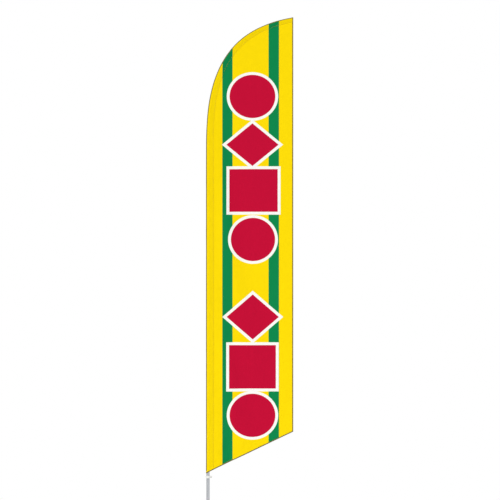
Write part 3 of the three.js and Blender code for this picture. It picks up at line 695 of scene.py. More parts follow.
def onSleeve(reach, along, lift=0.0):
    size = sizeAt(along)
    soft = noise.noise(Vector((reach * 45, along * 7, 3.1)))
    soft += 0.5 * noise.noise(Vector((reach * 110, along * 21, 7.7)))
    held = eased(0, 0.06, along - flagBottom) * eased(0, 0.08, poleEnd - along)
    seamFade = eased(0, mm(14), halfWrap - abs(reach))
    offset, back = wrapped(reach, lift + sleeve["wrinkle"] * soft * held * seamFade)
    closing = eased(0, sleeve["endClose"], poleEnd - along)
    place = besidePole(offset * size, back * size * between(0.06, 1, closing), along)
    mouth = max(0, 1 - (along - flagBottom) / sleeve["mouthBlend"])
    place.z += (bottomEdge(place.x) - flagBottom) * mouth
    tip = eased(poleEnd - sleeve["endBlend"], poleEnd, along)
    extra = (flyEdge - place.x) / math.sin(poleLine["turn"]) if tip > 0 else 0
    return place + Vector((math.sin(poleLine["turn"]), 0, math.cos(poleLine["turn"]))) * extra * tip


# The cloth


def clothGrid(across, along, place, flat):
    # A grid whose two shares, 0 to 1, are set in place, with its flat cut kept as a UV map in metres
    bm = bmesh.new()
    bmesh.ops.create_grid(bm, x_segments=across, y_segments=along, size=0.5)
    layer = bm.loops.layers.uv.new("flat")
    spots = {}
    for vert in bm.verts:
        u, v = vert.co.x + 0.5, vert.co.y + 0.5
        vert.co = place(u, v)
        spots[vert] = flat(u, v)
    for face in bm.faces:
        for loop in face.loops:
            loop[layer].uv = spots[loop.vert]
    return bm


def flatArea(mesh):
    spots = mesh.uv_layers["flat"].data
    total = 0
    for face in mesh.polygons:
        ring = [spots[index].uv for index in face.loop_indices]
        total += abs(sum(a.x * b.y - b.x * a.y for a, b in zip(ring, ring[1:] + ring[:1]))) / 2
    return total


def thickened(piece, thickness):
    wall = piece.modifiers.new("cloth", "SOLIDIFY")
    wall.thickness = thickness
    wall.offset = -1
    wall.material_offset = 1
    wall.material_offset_rim = 1
    return piece


def addCloth(name, node, bm, thickness):
    piece = addPiece(name, bm, "printed_cloth", "pole", 180, (clothFront, clothReverse), node)
    return thickened(piece, thickness)


def sleeveSpot(u, v):
    return between(-halfWrap, halfWrap, u), between(flagBottom, poleEnd, v)


def sleevePlace(u, v):
    return onSleeve(*sleeveSpot(u, v))


def sleeveFlat(u, v):
    reach, along = sleeveSpot(u, v)
    spot = besidePole((foldOffset + reach) * sizeAt(along), 0, along)
    return spot.x, spot.z


bm = clothGrid(sleeve["around"], sleeve["steps"], sleevePlace, sleeveFlat)
# How far each point lies inside the sleeve's outline, from its fold and from the fly edge: this places the
# band of painted shade
depth = bm.verts.layers.float.new("insideOutline")
for index, vert in enumerate(bm.verts):
    column, row = index % (sleeve["around"] + 1), index // (sleeve["around"] + 1)
    reach, along = sleeveSpot(column / sleeve["around"], row / sleeve["steps"])
    vert[depth] = min((sleeve["radius"] + wrapped(reach)[0]) * sizeAt(along), flyEdge - vert.co.x)
poleSleeve = addPiece("poleSleeve", bm, "printed_cloth", "pole", 180, (clothSleeve, clothReverse))
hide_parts("sleeve_straight", "sleeve_bend")
sleeveArea = flatArea(poleSleeve.data)
thickened(poleSleeve, sleeve["thickness"])

panel = {
    "tuck": mm(5),  # how far it runs into the seam
    "flyInset": mm(0.9),
    "across": 84,
    "steps": 330,
    "thickness": mm(0.5),
    "sway": mm(13),
    "smallSway": mm(5),
    "pucker": mm(0.5),
    "puckerPitch": mm(37),
    "puckerReach": mm(30),
    "cornerPull": mm(3),
    "cornerReach": 0.28,
}
breeze = {
    "columns": 18,
    "rows": 100,
    "frames": 34,
    "strength": 5,
    "noise": 10,
    "seed": 4,
    "quality": 6,
    "mass": 0.1,
    "stiffness": 25,
    "bending": 0.6,
    "spare": 0.004,  # how much longer the cloth is than the seam that holds it
    "largest": mm(26),  # cap on how far the cloth may move
}

# The seam's line as heights over x, for the panel's upper edge
seamSteps, tableSteps = 1200, 600
seamLine = []
for step in range(seamSteps + 1):
    along = between(bendStart, poleEnd, step / seamSteps)
    spot = besidePole((sleeve["tail"] - panel["tuck"]) * sizeAt(along), 0, along)
    seamLine.append((spot.x, spot.z))
seamLine.append((flyEdge + 0.01, seamLine[-1][1] + 0.01 / math.tan(poleLine["turn"])))
panelStart = seamLine[0][0]
panelEnd = flyEdge - panel["flyInset"]


def upperEdge(x):
    for low, high in zip(seamLine, seamLine[1:]):
        if low[0] <= x <= high[0] and high[0] > low[0]:
            return between(low[1], high[1], (x - low[0]) / (high[0] - low[0]))
    return seamLine[-1][1]


upperTable = [
    upperEdge(between(panelStart, flyEdge, (step / tableSteps) ** 2)) for step in range(tableSteps + 1)
]


def quickUpperEdge(x):
    position = math.sqrt(min(max((x - panelStart) / (flyEdge - panelStart), 0), 1)) * tableSteps
    index = min(int(position), tableSteps - 1)
    return between(upperTable[index], upperTable[index + 1], position - index)


def coarseSpot(u, v):
    x = between(panelStart, panelEnd, u)
    return x, between(bottomEdge(x), quickUpperEdge(x), v)


def blown():
    # Rows of distances to the back, from a cloth held along its seam in a light breeze
    bm = bmesh.new()
    bmesh.ops.create_grid(bm, x_segments=breeze["columns"], y_segments=breeze["rows"], size=0.5)
    heldEdge = []
    for vert in bm.verts:
        u, v = vert.co.x + 0.5, vert.co.y + 0.5
        x, z = coarseSpot(u, v)
        vert.co = (x, mm(1.5) * noise.noise(Vector((x * 4, 0.4, z * 2))), z)
        if u < 0.001 or v > 0.999:
            vert.co.y = 0
            heldEdge.append(vert.index)
    cloth = toolFrom(bm)
    cloth.vertex_groups.new(name="held").add(heldEdge, 1, "REPLACE")
    bpy.ops.object.effector_add(type="WIND", rotation=(math.radians(-90), 0, 0))
    wind = bpy.context.object
    wind.field.strength = breeze["strength"]
    wind.field.noise = breeze["noise"]
    wind.field.seed = breeze["seed"]
    fabric = cloth.modifiers.new("fabric", "CLOTH")
    fabric.settings.quality = breeze["quality"]
    fabric.settings.mass = breeze["mass"]
    fabric.settings.tension_stiffness = breeze["stiffness"]
    fabric.settings.compression_stiffness = breeze["stiffness"]
    fabric.settings.bending_stiffness = breeze["bending"]
    fabric.settings.vertex_group_mass = "held"
    fabric.settings.shrink_min = -breeze["spare"]
    fabric.point_cache.frame_end = breeze["frames"]
    for frameNumber in range(1, breeze["frames"] + 1):
        scene.frame_set(frameNumber)
    withModifiers(cloth)
    bm = bmesh.new()
    bm.from_mesh(cloth.data)
    bmesh.ops.smooth_vert(bm, verts=bm.verts, factor=0.5, use_axis_y=True)
    back = [vert.co.y for vert in bm.verts]
    bm.free()
    bpy.data.objects.remove(cloth)
    bpy.data.objects.remove(wind)
    scene.frame_set(1)
    share = min(1, breeze["largest"] / max(abs(place) for place in back))
    print("breeze", round(min(back), 4), round(max(back), 4), round(share, 2))
    width = breeze["columns"] + 1
    capped = [share * place for place in back]
    return [capped[start : start + width] for start in range(0, len(capped), width)]


def smoothThrough(values, position):
    # A curve through a row of values, at a place between two of them
    index = min(int(position), len(values) - 2)
    near = [values[min(max(index + step, 0), len(values) - 1)] for step in (-1, 0, 1, 2)]
    share = position - index
    bend = 2 * near[0] - 5 * near[1] + 4 * near[2] - near[3]
    twist = 3 * (near[1] - near[2]) + near[3] - near[0]
    return near[1] + 0.5 * share * (near[2] - near[0] + share * (bend + share * twist))


folds = blown()


def simulated(x, z):
    u = min(max((x - panelStart) / (panelEnd - panelStart), 0), 1)
    v = min(max((z - bottomEdge(x)) / (quickUpperEdge(x) - bottomEdge(x)), 0), 1)
    position = v * breeze["rows"]
    first = min(max(int(position) - 1, 0), breeze["rows"] - 3)
    column = u * breeze["columns"]
    rows = [smoothThrough(row, column) for row in folds[first : first + 4]]
    return smoothThrough(rows, position - first)


def waves(x, z):
    # The same kind of folds, drawn directly
    lean = 0.35 * math.sin(2 * math.pi * z / 2.9 + 0.6)
    sway = math.sin(2 * math.pi * (x / 0.52 + z * 0.13 + lean) + 0.9)
    small = math.sin(2 * math.pi * (x / 0.23 - z * 0.31) + 2 * lean) * (0.6 + 0.4 * math.sin(2.3 * z))
    wander = noise.noise(Vector((x * 3.2, 0.4, z * 1.7))) * 1.1
    return panel["sway"] * (sway + 0.5 * wander) + panel["smallSway"] * small


def ripple(x, z):
    # How far the hanging cloth stands to the back: folds away from the pole, and puckers at the seam
    away = x - sleeve["tail"]
    depth = max(quickUpperEdge(x) - z, 0)
    if folds:
        large = simulated(x, z) * eased(0, 0.16, away) * eased(0, 0.3, depth)
    else:
        large = waves(x, z) * eased(0, 0.45, away) * eased(0, 1.1, depth)
    pull = math.hypot(x, z - flagBottom)
    corner = math.sin(15 * math.atan2(z - flagBottom, x)) * math.exp(-pull / panel["cornerReach"])
    corner *= eased(0, 0.12, away)
    pucker = math.sin(2 * math.pi * z / panel["puckerPitch"] + 4 * noise.noise(Vector((0, 0, z * 6))))
    pucker *= math.exp(-max(away, 0) / panel["puckerReach"]) * eased(0, mm(12), away)
    return large + panel["cornerPull"] * corner + panel["pucker"] * pucker


def panelSpot(u, v):
    x = between(panelStart, panelEnd, 0.3 * u + 0.7 * u * u)
    low = bottomEdge(x) + mm(1)
    return x, between(low, quickUpperEdge(x), v)


def panelPlace(u, v):
    x, z = panelSpot(u, v)
    return Vector((x, ripple(x, z) - panel["thickness"] / 2, z))


bm = clothGrid(panel["across"], panel["steps"], panelPlace, panelSpot)
flagPanel = addCloth("flagPanel", "flag_panel", bm, panel["thickness"])
panelArea = flatArea(flagPanel.data)
print("cloth", round(sleeveArea, 3), round(panelArea, 3))


# Hems, edge thread and stitches

hem = {
    "width": mm(10),
    "layer": mm(0.95),  # from the panel's middle to the hem's surface
    "thickness": mm(0.4),
    "overlock": mm(7),  # width of the overlocked edge
    "threadRise": mm(0.35),  # of the overlock thread off the cloth
    "thread": mm(0.3),
    "stitchPitch": mm(5),
    "stitchRadius": mm(0.32),
    "rows": (mm(8.4),),  # from the edge
    "seamRows": mm(2.5, 7.5),  # from the seam's edge
}
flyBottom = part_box("fly_hem")[0].z
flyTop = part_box("fly_hem")[1].z
hemStart = sleeve["tail"] + mm(1)
hemEnd = flyEdge - hem["width"] - mm(0.3)
tilt = math.atan(bottomSlope)


def roundEdge(u, width, layer):
    # From the front's inner edge out round the fold and in again: distance from the edge, and to the back
    straight = width - layer
    total = 2 * straight + math.pi * layer
    run = u * total
    if run < straight:
        return width - run, -layer
    if run > total - straight:
        return width - (total - run), layer
    angle = (run - straight) / layer
    return layer * (1 - math.sin(angle)), -layer * math.cos(angle)


def hemSection(u):
    return roundEdge(u, hem["width"], hem["layer"])


def flySpot(inward, v):
    return flyEdge - inward, between(flyBottom, flyTop, v)


def bottomSpot(inward, v):
    x = between(hemStart, hemEnd, v)
    return x - inward * math.sin(tilt), bottomEdge(x) + inward * math.cos(tilt)


def addHem(name, node, spot, steps):
    def place(u, v):
        inward, back = hemSection(u)
        x, z = spot(inward, v)
        return Vector((x, ripple(x, z) + back, z))

    def flat(u, v):
        return spot(hemSection(u)[0], v)

    return addCloth(name, node, clothGrid(14, steps, place, flat), hem["thickness"])


flyHem = addHem("flyHem", "fly_hem", flySpot, 330)
bottomHem = addHem("bottomHem", "bottom_hem", bottomSpot, 90)


binding = {
    "inset": mm(5),  # from the seam's edge
    "height": mm(14),
    "lift": mm(0.6),
    "stitchInset": mm(7),
    "stitchLift": mm(0.8),
    "rows": mm(4, 11),
}


def bindingReach(inset, share):
    return between(inset - halfWrap, halfWrap - inset, share)


def bindingPlace(u, v):
    reach = bindingReach(binding["inset"], u)
    return onSleeve(reach, flagBottom + binding["height"] * v, binding["lift"])


def bindingFlat(u, v):
    x = foldOffset + bindingReach(binding["inset"], u)
    return x, bottomEdge(x) + binding["height"] * v


bm = clothGrid(48, 6, bindingPlace, bindingFlat)
mouthBinding = addCloth("mouthBinding", "mouth_binding", bm, hem["thickness"])


# Overlocked edge: thread sewn over the cloth's outermost few millimetres


def overlockSection(u):
    return roundEdge(u, hem["overlock"], hem["layer"] + hem["threadRise"])


def flyBand(u, v):
    inward, back = overlockSection(u)
    z = between(flyBottom, flagTop - mm(1.5), v)
    return Vector((flyEdge + hem["threadRise"] - inward, ripple(flyEdge - inward, z) + back, z))


def bottomBand(u, v):
    inward, back = overlockSection(u)
    inward -= hem["threadRise"]
    x = between(hemStart, flyEdge, v) - inward * math.sin(tilt)
    z = bottomEdge(x) + inward / math.cos(tilt)
    return Vector((x, ripple(x, z) + back, z))


def mouthBand(u, v):
    inward, lift = overlockSection(1 - u)
    reach = between(-halfWrap, halfWrap, v)
    place = onSleeve(reach, flagBottom, lift)
    return place + Vector((0, 0, inward - hem["threadRise"]))


def bandFlat(length):
    return lambda u, v: (u * 2 * hem["overlock"], v * length)


edgeBands = bmesh.new()
for section, length, steps in (
    (flyBand, flagTop - flyBottom, 420),
    (bottomBand, 0.67, 100),
    (mouthBand, 2 * halfWrap, 64),
):
    band = toolFrom(clothGrid(12, steps, section, bandFlat(length)))
    edgeBands.from_mesh(band.data)
    bpy.data.objects.remove(band)
edgeThread = addPiece("edgeThread", edgeBands, "hem_thread", "pole", 180, (overlockThread, overlockThread))
thickened(edgeThread, hem["thread"])


def stitchRow(bm, place, length, radius=hem["stitchRadius"], pitch=hem["stitchPitch"]):
    # One small stitch, repeated along the row and bent to it
    one = bmesh.new()
    bmesh.ops.create_uvsphere(one, u_segments=5, v_segments=4, radius=1)
    moved(one, Matrix.Rotation(math.pi / 2, 4, "Y") @ Matrix.Diagonal((radius, radius, 0.36 * pitch, 1)))
    moved(one, Matrix.Translation((pitch / 2, 0, 0)))
    stitch = toolFrom(one)
    curve = bpy.data.curves.new("row", "CURVE")
    curve.dimensions = "3D"
    line = curve.splines.new("POLY")
    steps = max(2, int(length / mm(9)))
    line.points.add(steps)
    for step, point in enumerate(line.points):
        point.co = (*place(step / steps), 1)
    row = bpy.data.objects.new("row", curve)
    scene.collection.objects.link(row)
    repeat = stitch.modifiers.new("repeat", "ARRAY")
    repeat.use_relative_offset = False
    repeat.use_constant_offset = True
    repeat.constant_offset_displace = (pitch, 0, 0)
    repeat.count = int(curve.splines[0].calc_length() / pitch)
    follow = stitch.modifiers.new("follow", "CURVE")
    follow.object = row
    withModifiers(stitch)
    bm.from_mesh(stitch.data)
    bpy.data.objects.remove(stitch)
    bpy.data.objects.remove(row)


def stitches(name, rows):
    bm = bmesh.new()
    for place, length in rows:
        stitchRow(bm, place, length)
    return addPiece(name, bm, "printed_cloth", "pole", 80, (sewingThread,))


def hemRow(spot, inward, side):
    def place(share):
        x, z = spot(inward, share)
        return Vector((x, ripple(x, z) + side * (hem["layer"] + mm(0.15)), z))

    return place


def seamRow(inward, side):
    def place(share):
        along = between(flagBottom + mm(32), poleEnd - mm(6), share)
        spot = onSleeve(side * (halfWrap - inward), along)
        return spot + Vector((0, -side * mm(0.2), 0))

    return place


def hemRows(spot, length):
    return [(hemRow(spot, inward, side), length) for inward in hem["rows"] for side in (-1, 1)]


flyStitches = stitches("flyStitches", hemRows(flySpot, flyTop - flyBottom))
bottomStitches = stitches("bottomStitches", hemRows(bottomSpot, 0.66))
seamStitches = stitches(
    "seamStitches",
    [(seamRow(inward, side), poleEnd - flagBottom) for inward in hem["seamRows"] for side in (-1, 1)],
)


def bindingRow(up):
    def place(share):
        reach = bindingReach(binding["stitchInset"], share)
        return onSleeve(reach, flagBottom + up, binding["stitchLift"])

    return place


mouthStitches = stitches("mouthStitches", [(bindingRow(up), 2 * halfWrap) for up in binding["rows"]])
print("hems and stitches")


# Tension tab, eyelet, stud and collar

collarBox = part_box("tension_collar")
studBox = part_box("tension_stud")
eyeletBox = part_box("tab_eyelet")
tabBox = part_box("tension_tab")
collarMiddle = (collarBox[0].z + collarBox[1].z) / 2
eyeletMiddle = (eyeletBox[0].z + eyeletBox[1].z) / 2
tab = {
    "halfWidth": mm(11),
    "hole": mm(5.1),
    "thickness": mm(1.5),
    "sewnFrom": mm(14),  # above the flag's corner
    "sewnBack": mm(17.2),  # back face where it is sewn on the sleeve
}


def tabBack(z):
    low = flagBottom - mm(2)
    return between(tabBox[1].y, tab["sewnBack"], eased(low, low + mm(20), z))


def tabSurface(x, z):
    curl = mm(0.9) * (x / tab["halfWidth"]) ** 2 * eased(flagBottom, flagBottom + mm(20), z)
    return tabBack(z) - curl


def tabPlace(u, v):
    z = between(tabBox[0].z, tabBox[1].z, v)
    drop = max(eyeletMiddle - z, 0)
    half = math.sqrt(max(tab["halfWidth"] ** 2 - drop * drop, mm(0.8) ** 2))
    x = between(half, -half, u)
    return Vector((x, tabSurface(x, z), z))


bm = bmesh.new()
bmesh.ops.create_grid(bm, x_segments=16, y_segments=56, size=0.5)
for vert in bm.verts:
    vert.co = tabPlace(vert.co.x + 0.5, vert.co.y + 0.5)
tensionTab = addPiece("tensionTab", bm, "white_webbing", "pole", 60, node="tension_tab")
wall = tensionTab.modifiers.new("webbing", "SOLIDIFY")
wall.thickness = tab["thickness"]
wall.offset = -1
withModifiers(tensionTab)
cutAway(tensionTab, crossBar(tab["hole"], 0, tabBox[1].y, eyeletMiddle, mm(30), 40))


def tabStitch(x0, z0, x1, z1):
    def place(share):
        x, z = between(x0, x1, share), between(z0, z1, share)
        return Vector((x, tabSurface(x, z) + mm(0.15), z))

    return place, math.hypot(x1 - x0, z1 - z0)


left, right = -mm(8.6), mm(8.6)
low, high = flagBottom + tab["sewnFrom"] + mm(2), tabBox[1].z - mm(2.5)
bm = bmesh.new()
sewn = ringSection(left, right, low, high)
for start, end in ((0, 1), (1, 2), (2, 3), (3, 0), (0, 2), (3, 1)):  # a square and its diagonals
    place, length = tabStitch(*sewn[start], *sewn[end])
    stitchRow(bm, place, length, mm(0.38), mm(2.6))
tabStitches = addPiece("tabStitches", bm, "white_webbing", "pole", 80, (whiteThread,))

low, high = eyeletBox[0].y, eyeletBox[1].y
profile = corners(0, low, (4, 0.5), (4.5, 0), (5.8, 0), (7.7, 0.35), (8, 0.75), (7.1, 0.8), (4.8, 0.8))
profile += corners(
    0, high, (4.8, -0.8), (7.1, -0.8), (8, -0.75), (7.7, -0.35), (5.8, 0), (4.5, 0), (4, -0.5)
)
addTurned(
    "tabEyelet", "tab_eyelet", profile, "brass", "pole", smoothBelow=50, segments=56, bevel=mm(0.15),
    across=(0, eyeletMiddle),
)

low, high = studBox[0].y, studBox[1].y
profile = corners(0, low, (0, 0), (2.6, 0))
profile += corners(0, high, (2.6, -1.6), (3.7, -1.6), (3.7, -0.9), (3, -0.25), (1.6, 0), (0, 0))
addTurned(
    "tensionStud", "tension_stud", profile, "bright_steel", "pole", smoothBelow=40, segments=40,
    bevel=mm(0.12), across=(0, collarMiddle),
)

collar = {
    "inner": mm(13),
    "outer": mm(17),
    "earDepth": mm(6.5),
    "earInset": mm(2),
    "slot": mm(0.8),
    "screwX": mm(24),
    "edge": mm(0.5),
}
low, high = collarBox[0].z, collarBox[1].z
rim = ringSection(collar["inner"], collar["outer"], low, high)
tensionCollar = addTurned(
    "tensionCollar", "tension_collar", rim, "white_nylon", "pole", smoothBelow=40, segments=72
)
ears = block(
    (mm(15), -collar["earDepth"], low + collar["earInset"]),
    (collarBox[1].x, collar["earDepth"], high - collar["earInset"]),
)
cutAway(tensionCollar, ears, way="UNION")
cutAway(
    tensionCollar,
    block((mm(1.6), -collar["slot"], low - mm(5)), (mm(40), collar["slot"], high + mm(5))),
    crossBar(mm(2.4), collar["screwX"], 0, collarMiddle, mm(60)),
    crossBar(mm(2.9), 0, mm(15), collarMiddle, mm(20)),
)
edges = tensionCollar.modifiers.new("edges", "BEVEL")
edges.width = collar["edge"]
edges.segments = 2
edges.limit_method = "ANGLE"
edges.angle_limit = math.radians(50)
withModifiers(tensionCollar)
bm = bmesh.new()
bm.from_mesh(tensionCollar.data)
bmesh.ops.dissolve_degenerate(bm, dist=mm(0.01), edges=bm.edges)
bm.to_mesh(tensionCollar.data)
bm.free()

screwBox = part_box("collar_screw")
front, back = screwBox[0].y, screwBox[1].y
screwProfile = corners(0, front, (0, 0), (2.2, 0.1), (3.3, 0.7), (3.6, 1.8), (3.6, 3), (2.1, 3))
turns = 10
for step in range(turns):
    start = between(mm(4), back - mm(0.6), step / turns)
    pitch = (back - mm(4.6)) / turns
    screwProfile += [(mm(2.1), start), (mm(1.75), start + pitch / 2)]
screwProfile += corners(0, back, (2.1, -0.6), (1.6, 0), (0, 0))
collarScrew = addTurned(
    "collarScrew", "collar_screw", screwProfile, "bright_steel", "pole", smoothBelow=50, segments=36,
    across=(collar["screwX"], collarMiddle),
)
cutAway(collarScrew, crossBar(mm(1.75), collar["screwX"], front, collarMiddle, mm(4), 6))

low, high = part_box("collar_nut")
bm = roundBar((high.x - low.x) / 2, high.y - low.y, 6, math.pi / 6)
softened(bm, mm(0.35), 70)
moved(alongY(bm, collar["screwX"], collarMiddle), Matrix.Translation((0, (low.y + high.y) / 2, 0)))
collarNut = addPiece("collarNut", bm, "bright_steel", "pole", 40, node="collar_nut")
cutAway(collarNut, crossBar(mm(2.3), collar["screwX"], 0, collarMiddle, mm(60)))
print("tension collar and tab")


# Pole and snap buttons

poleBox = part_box("pole_section_1")
tube = {"outer": mm(12.7), "inner": mm(11.5), "hole": mm(3.6)}
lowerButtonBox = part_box("joint_1_button")
buttonHeight = (lowerButtonBox[0].z + lowerButtonBox[1].z) / 2
lowerPole = addTurned(
    "lowerPole", "pole_section_1", ringSection(tube["inner"], tube["outer"], poleBox[0].z, poleBox[1].z),
    "anodised_aluminium", "pole", smoothBelow=30, segments=72, bevel=mm(0.3),
)
cutAway(lowerPole, crossBar(tube["hole"], 0, -mm(10.5), buttonHeight, mm(20)))


def addButton(name, node, body):
    low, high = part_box(node)
    profile = corners(0, high.y, (0, 0), (4.6, 0), (4.6, -1.2), (3.2, -1.2))
    profile += corners(0, low.y, (3.2, 1.5), (2.85, 0.75), (2.1, 0.25), (1.1, 0.03), (0, 0))
    middle = (low.z + high.z) / 2
    addTurned(name, node, profile, "bright_steel", body, smoothBelow=40, segments=40, across=(0, middle))


addButton("lowerSnapButton", "joint_1_button", "lower_button")
addButton("upperSnapButton", "joint_2_button", "upper_button")

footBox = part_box("pole_foot")
foot = {"lip": mm(11.1), "bore": mm(13), "outer": mm(15.2), "lipHeight": mm(2)}
low, high = footBox[0].z, footBox[1].z
footProfile = [(foot["lip"], low), (foot["outer"], low)]
for groove in (0.42, 0.58):  # two moulded grooves round the foot
    height = between(low, high, groove)
    footProfile += [(foot["outer"], height - mm(0.7)), (foot["outer"] - mm(0.6), height)]
    footProfile += [(foot["outer"], height + mm(0.7))]
footProfile += [
    (foot["outer"], high),
    (foot["bore"], high),
    (foot["bore"], low + foot["lipHeight"]),
    (foot["lip"], low + foot["lipHeight"]),
]
addTurned(
    "poleFoot", "pole_foot", footProfile, "white_nylon", "pole", smoothBelow=40, segments=64,
    bevel=mm(0.5), sharper=60,
)
print("pole")


# Swivel

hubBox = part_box("swivel_hub")
hub = {
    "outer": mm(10.7),
    "bore": mm(8.8),
    "lipBore": mm(6.7),
    "flange": mm(17),
    "flangeHeight": mm(5),
    "lipHeight": mm(3.4),
    "seat": mm(9.8),
    "grooveHalf": mm(0.9),
    "ringInset": mm(24),
    "clipGroove": mm(9.4),
    "clipFrom": mm(5.3),  # from the top to the groove's bottom
    "clipTo": mm(3.7),
}
low, high = hubBox[0].z, hubBox[1].z
hubProfile = [
    (hub["lipBore"], low),
    (hub["flange"], low),
    (hub["flange"], low + hub["flangeHeight"]),
    (hub["outer"], low + hub["flangeHeight"]),
]
for height in (low + hub["ringInset"], high - hub["ringInset"]):
    hubProfile += [(hub["outer"], height - hub["grooveHalf"]), (hub["seat"], height - hub["grooveHalf"])]
    hubProfile += [(hub["seat"], height + hub["grooveHalf"]), (hub["outer"], height + hub["grooveHalf"])]
hubProfile += [
    (hub["outer"], high),
    (hub["bore"], high),
    (hub["bore"], high - hub["clipTo"]),
    (hub["clipGroove"], high - hub["clipTo"]),
    (hub["clipGroove"], high - hub["clipFrom"]),
    (hub["bore"], high - hub["clipFrom"]),
    (hub["bore"], low + hub["lipHeight"]),
    (hub["lipBore"], low + hub["lipHeight"]),
]
addTurned(
    "swivelHub", "swivel_hub", hubProfile, "anodised_aluminium", "swivel", smoothBelow=35, segments=72,
    bevel=mm(0.25), sharper=60,
)


def addRing(name, node):
    low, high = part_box(node)
    thick = mm(1)
    bm = bmesh.new()
    bmesh.ops.create_circle(bm, segments=16, radius=thick / 2)
    upright = Matrix.Rotation(math.pi / 2, 4, "X")
    moved(bm, Matrix.Translation((high.x - thick / 2, 0, (low.z + high.z) / 2)) @ upright)
    spunRound(bm, bm.verts[:] + bm.edges[:], 72)
    addPiece(name, bm, "black_rubber", "swivel", 80, node=node)


addRing("lowerRing", "lower_o_ring")
addRing("upperRing", "upper_o_ring")

low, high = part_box("hub_cap")
shoulder = high.z - mm(3.3)
profile = corners(0, shoulder, (0, 0), (7.1, 0)) + corners(0, low.z, (7.1, 0), (8.5, 0))
profile += [(mm(8.5), shoulder), (high.x, shoulder)]
profile += corners(high.x, high.z, (0, -1.3), (-0.5, -0.4), (-1.6, 0)) + [(0, high.z)]
addTurned(
    "hubCap", "hub_cap", profile, "white_nylon", "swivel", smoothBelow=40, segments=56,
    bevel=mm(0.15), sharper=60,
)

low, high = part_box("thrust_bushing")
profile = corners(0, low.z, (4.5, 0), (10, 0), (10, 2), (5.6, 2)) + corners(0, high.z, (5.6, 0), (4.5, 0))
addTurned(
    "thrustBushing", "thrust_bushing", profile, "white_nylon", "ground_spike", smoothBelow=40, segments=56,
    bevel=mm(0.2), sharper=60,
)
print("swivel")


# Ground spike

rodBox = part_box("spike_rod")
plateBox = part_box("step_plate")
spike = {
    "rod": mm(8),
    "point": mm(60),
    "collar": mm(14),
    "collarFrom": mm(5.3),
    "collarTo": mm(11.3),
    "shoulder": mm(29.3),
    "spindle": mm(4.2),
    "groove": mm(3.6),
    "grooveFrom": mm(176.6),
    "grooveTo": mm(178.2),
    "plateCorner": mm(8),
    "plateEdge": mm(0.9),
    "finEdge": mm(0.6),
    "hole": mm(8.3),
    "weld": mm(1.9),
    "weldHeight": mm(5.4),
    "weldSteps": 96,
}
low, high = rodBox[0].z, rodBox[1].z
rodProfile = [
    (0, low),
    (mm(1.2), low + mm(4)),
    (spike["rod"], low + spike["point"]),
    (spike["rod"], spike["collarFrom"]),
    (spike["collar"], spike["collarFrom"]),
    (spike["collar"], spike["collarTo"]),
    (spike["rod"], spike["collarTo"]),
    (spike["rod"], spike["shoulder"]),
    (spike["spindle"], spike["shoulder"]),
    (spike["spindle"], spike["grooveFrom"]),
    (spike["groove"], spike["grooveFrom"]),
    (spike["groove"], spike["grooveTo"]),
    (spike["spindle"], spike["grooveTo"]),
    (spike["spindle"], high),
    (0, high),
]
addTurned(
    "spikeRod", "spike_rod", rodProfile, "galvanised_steel", "ground_spike", smoothBelow=35, segments=56,
    bevel=mm(0.25), sharper=40,
)

# Step plate: a rounded plate with a hole for the rod
bm = block(plateBox[0], plateBox[1])
upright = [edge for edge in bm.edges if abs((edge.verts[0].co - edge.verts[1].co).normalized().z) > 0.9]
bmesh.ops.bevel(
    bm, geom=upright, offset=spike["plateCorner"], offset_type="OFFSET", segments=8, profile=0.5,
    affect="EDGES", material=-1,
)
softened(bm, spike["plateEdge"], 60, 3)
stepPlate = addPiece("stepPlate", bm, "galvanised_steel", "ground_spike", 30, node="step_plate")
cutAway(stepPlate, roundBar(spike["hole"], mm(30), 56))


def bead(bm, places, radius, sides=8):
    # A weld bead through the places, with the ripples that each pass leaves
    rings = []
    for index, (place, forward) in enumerate(places):
        swelling = 1 + 0.13 * math.sin(index * 2 * math.pi / 3)
        made = bmesh.ops.create_circle(bm, segments=sides, radius=radius * swelling)
        turn = forward.to_track_quat("Z", "Y").to_matrix().to_4x4()
        bmesh.ops.transform(bm, matrix=Matrix.Translation(place) @ turn, verts=made["verts"])
        rings.append(list(dict.fromkeys(edge for vert in made["verts"] for edge in vert.link_edges)))
    for first, second in zip(rings, rings[1:]):
        bmesh.ops.bridge_loops(bm, edges=first + second)
    return rings


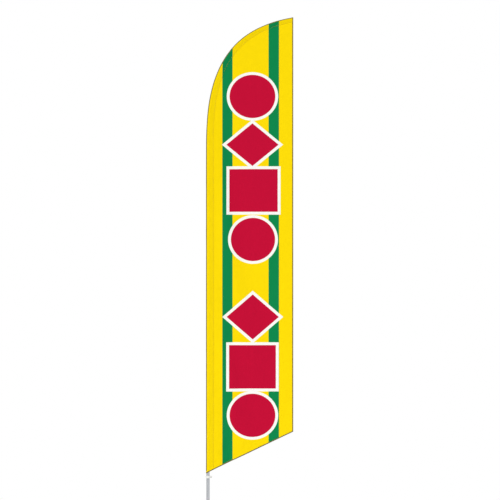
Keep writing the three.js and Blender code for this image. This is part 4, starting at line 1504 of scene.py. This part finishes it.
bm = bmesh.new()
around = []
for step in range(spike["weldSteps"] + 1):
    angle = 2 * math.pi * step / spike["weldSteps"]
    outward = Vector((math.cos(angle), math.sin(angle), 0))
    place = outward * spike["collar"] + Vector((0, 0, spike["weldHeight"]))
    around.append((place, Vector((-outward.y, outward.x, 0))))
bead(bm, around, spike["weld"])
bmesh.ops.remove_doubles(bm, verts=bm.verts, dist=mm(0.12))
bmesh.ops.recalc_face_normals(bm, faces=bm.faces)
addPiece("plateWeld", bm, "galvanised_steel", "ground_spike", 80)

# Fins, each a tapered blade with a bead of weld down both sides of its root
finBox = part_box("spike_fin_1")
fin = {
    "inner": mm(8.3),
    "outer": mm(27.3),
    "half": mm(2),
    "taper": mm(140),
    "weld": mm(1.5),
    "weldInset": mm(0.3),
    "weldSteps": 60,
}
low, high = finBox[0].z, finBox[1].z
for number in range(4):
    bm = bmesh.new()
    outline = [
        (fin["inner"], low),
        (fin["outer"], low + fin["taper"]),
        (fin["outer"], high),
        (fin["inner"], high),
    ]
    blade = bm.faces.new([bm.verts.new((x, -fin["half"], z)) for x, z in outline])
    made = bmesh.ops.extrude_face_region(bm, geom=[blade])
    far = [item for item in made["geom"] if isinstance(item, bmesh.types.BMVert)]
    bmesh.ops.translate(bm, verts=far, vec=(0, 2 * fin["half"], 0))
    bmesh.ops.recalc_face_normals(bm, faces=bm.faces)
    softened(bm, spike["finEdge"], 20)
    for side in (-1, 1):
        places = []
        for step in range(fin["weldSteps"] + 1):
            height = between(low + mm(10), high - mm(4), step / fin["weldSteps"])
            beside = side * (fin["half"] + fin["weldInset"])
            places.append((Vector((fin["inner"] + fin["weldInset"], beside, height)), Vector((0, 0, 1))))
        rings = bead(bm, places, fin["weld"], 7)
        bmesh.ops.holes_fill(bm, edges=rings[0] + rings[-1])
    bmesh.ops.recalc_face_normals(bm, faces=bm.faces)
    moved(bm, Matrix.Rotation(2 * math.pi * (number + 0.5) / 4, 4, "Z"))
    node = f"spike_fin_{number + 1}"
    addPiece(f"spikeFin{number + 1}", bm, "galvanised_steel", "ground_spike", node=node)
print("ground spike")


# The sizes: bounds of the CAD model and of the built pieces

boxes = {"cad": cadBox, "visual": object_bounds()}
{kind: [list(corner) for corner in box] for kind, box in boxes.items()}
print("done")
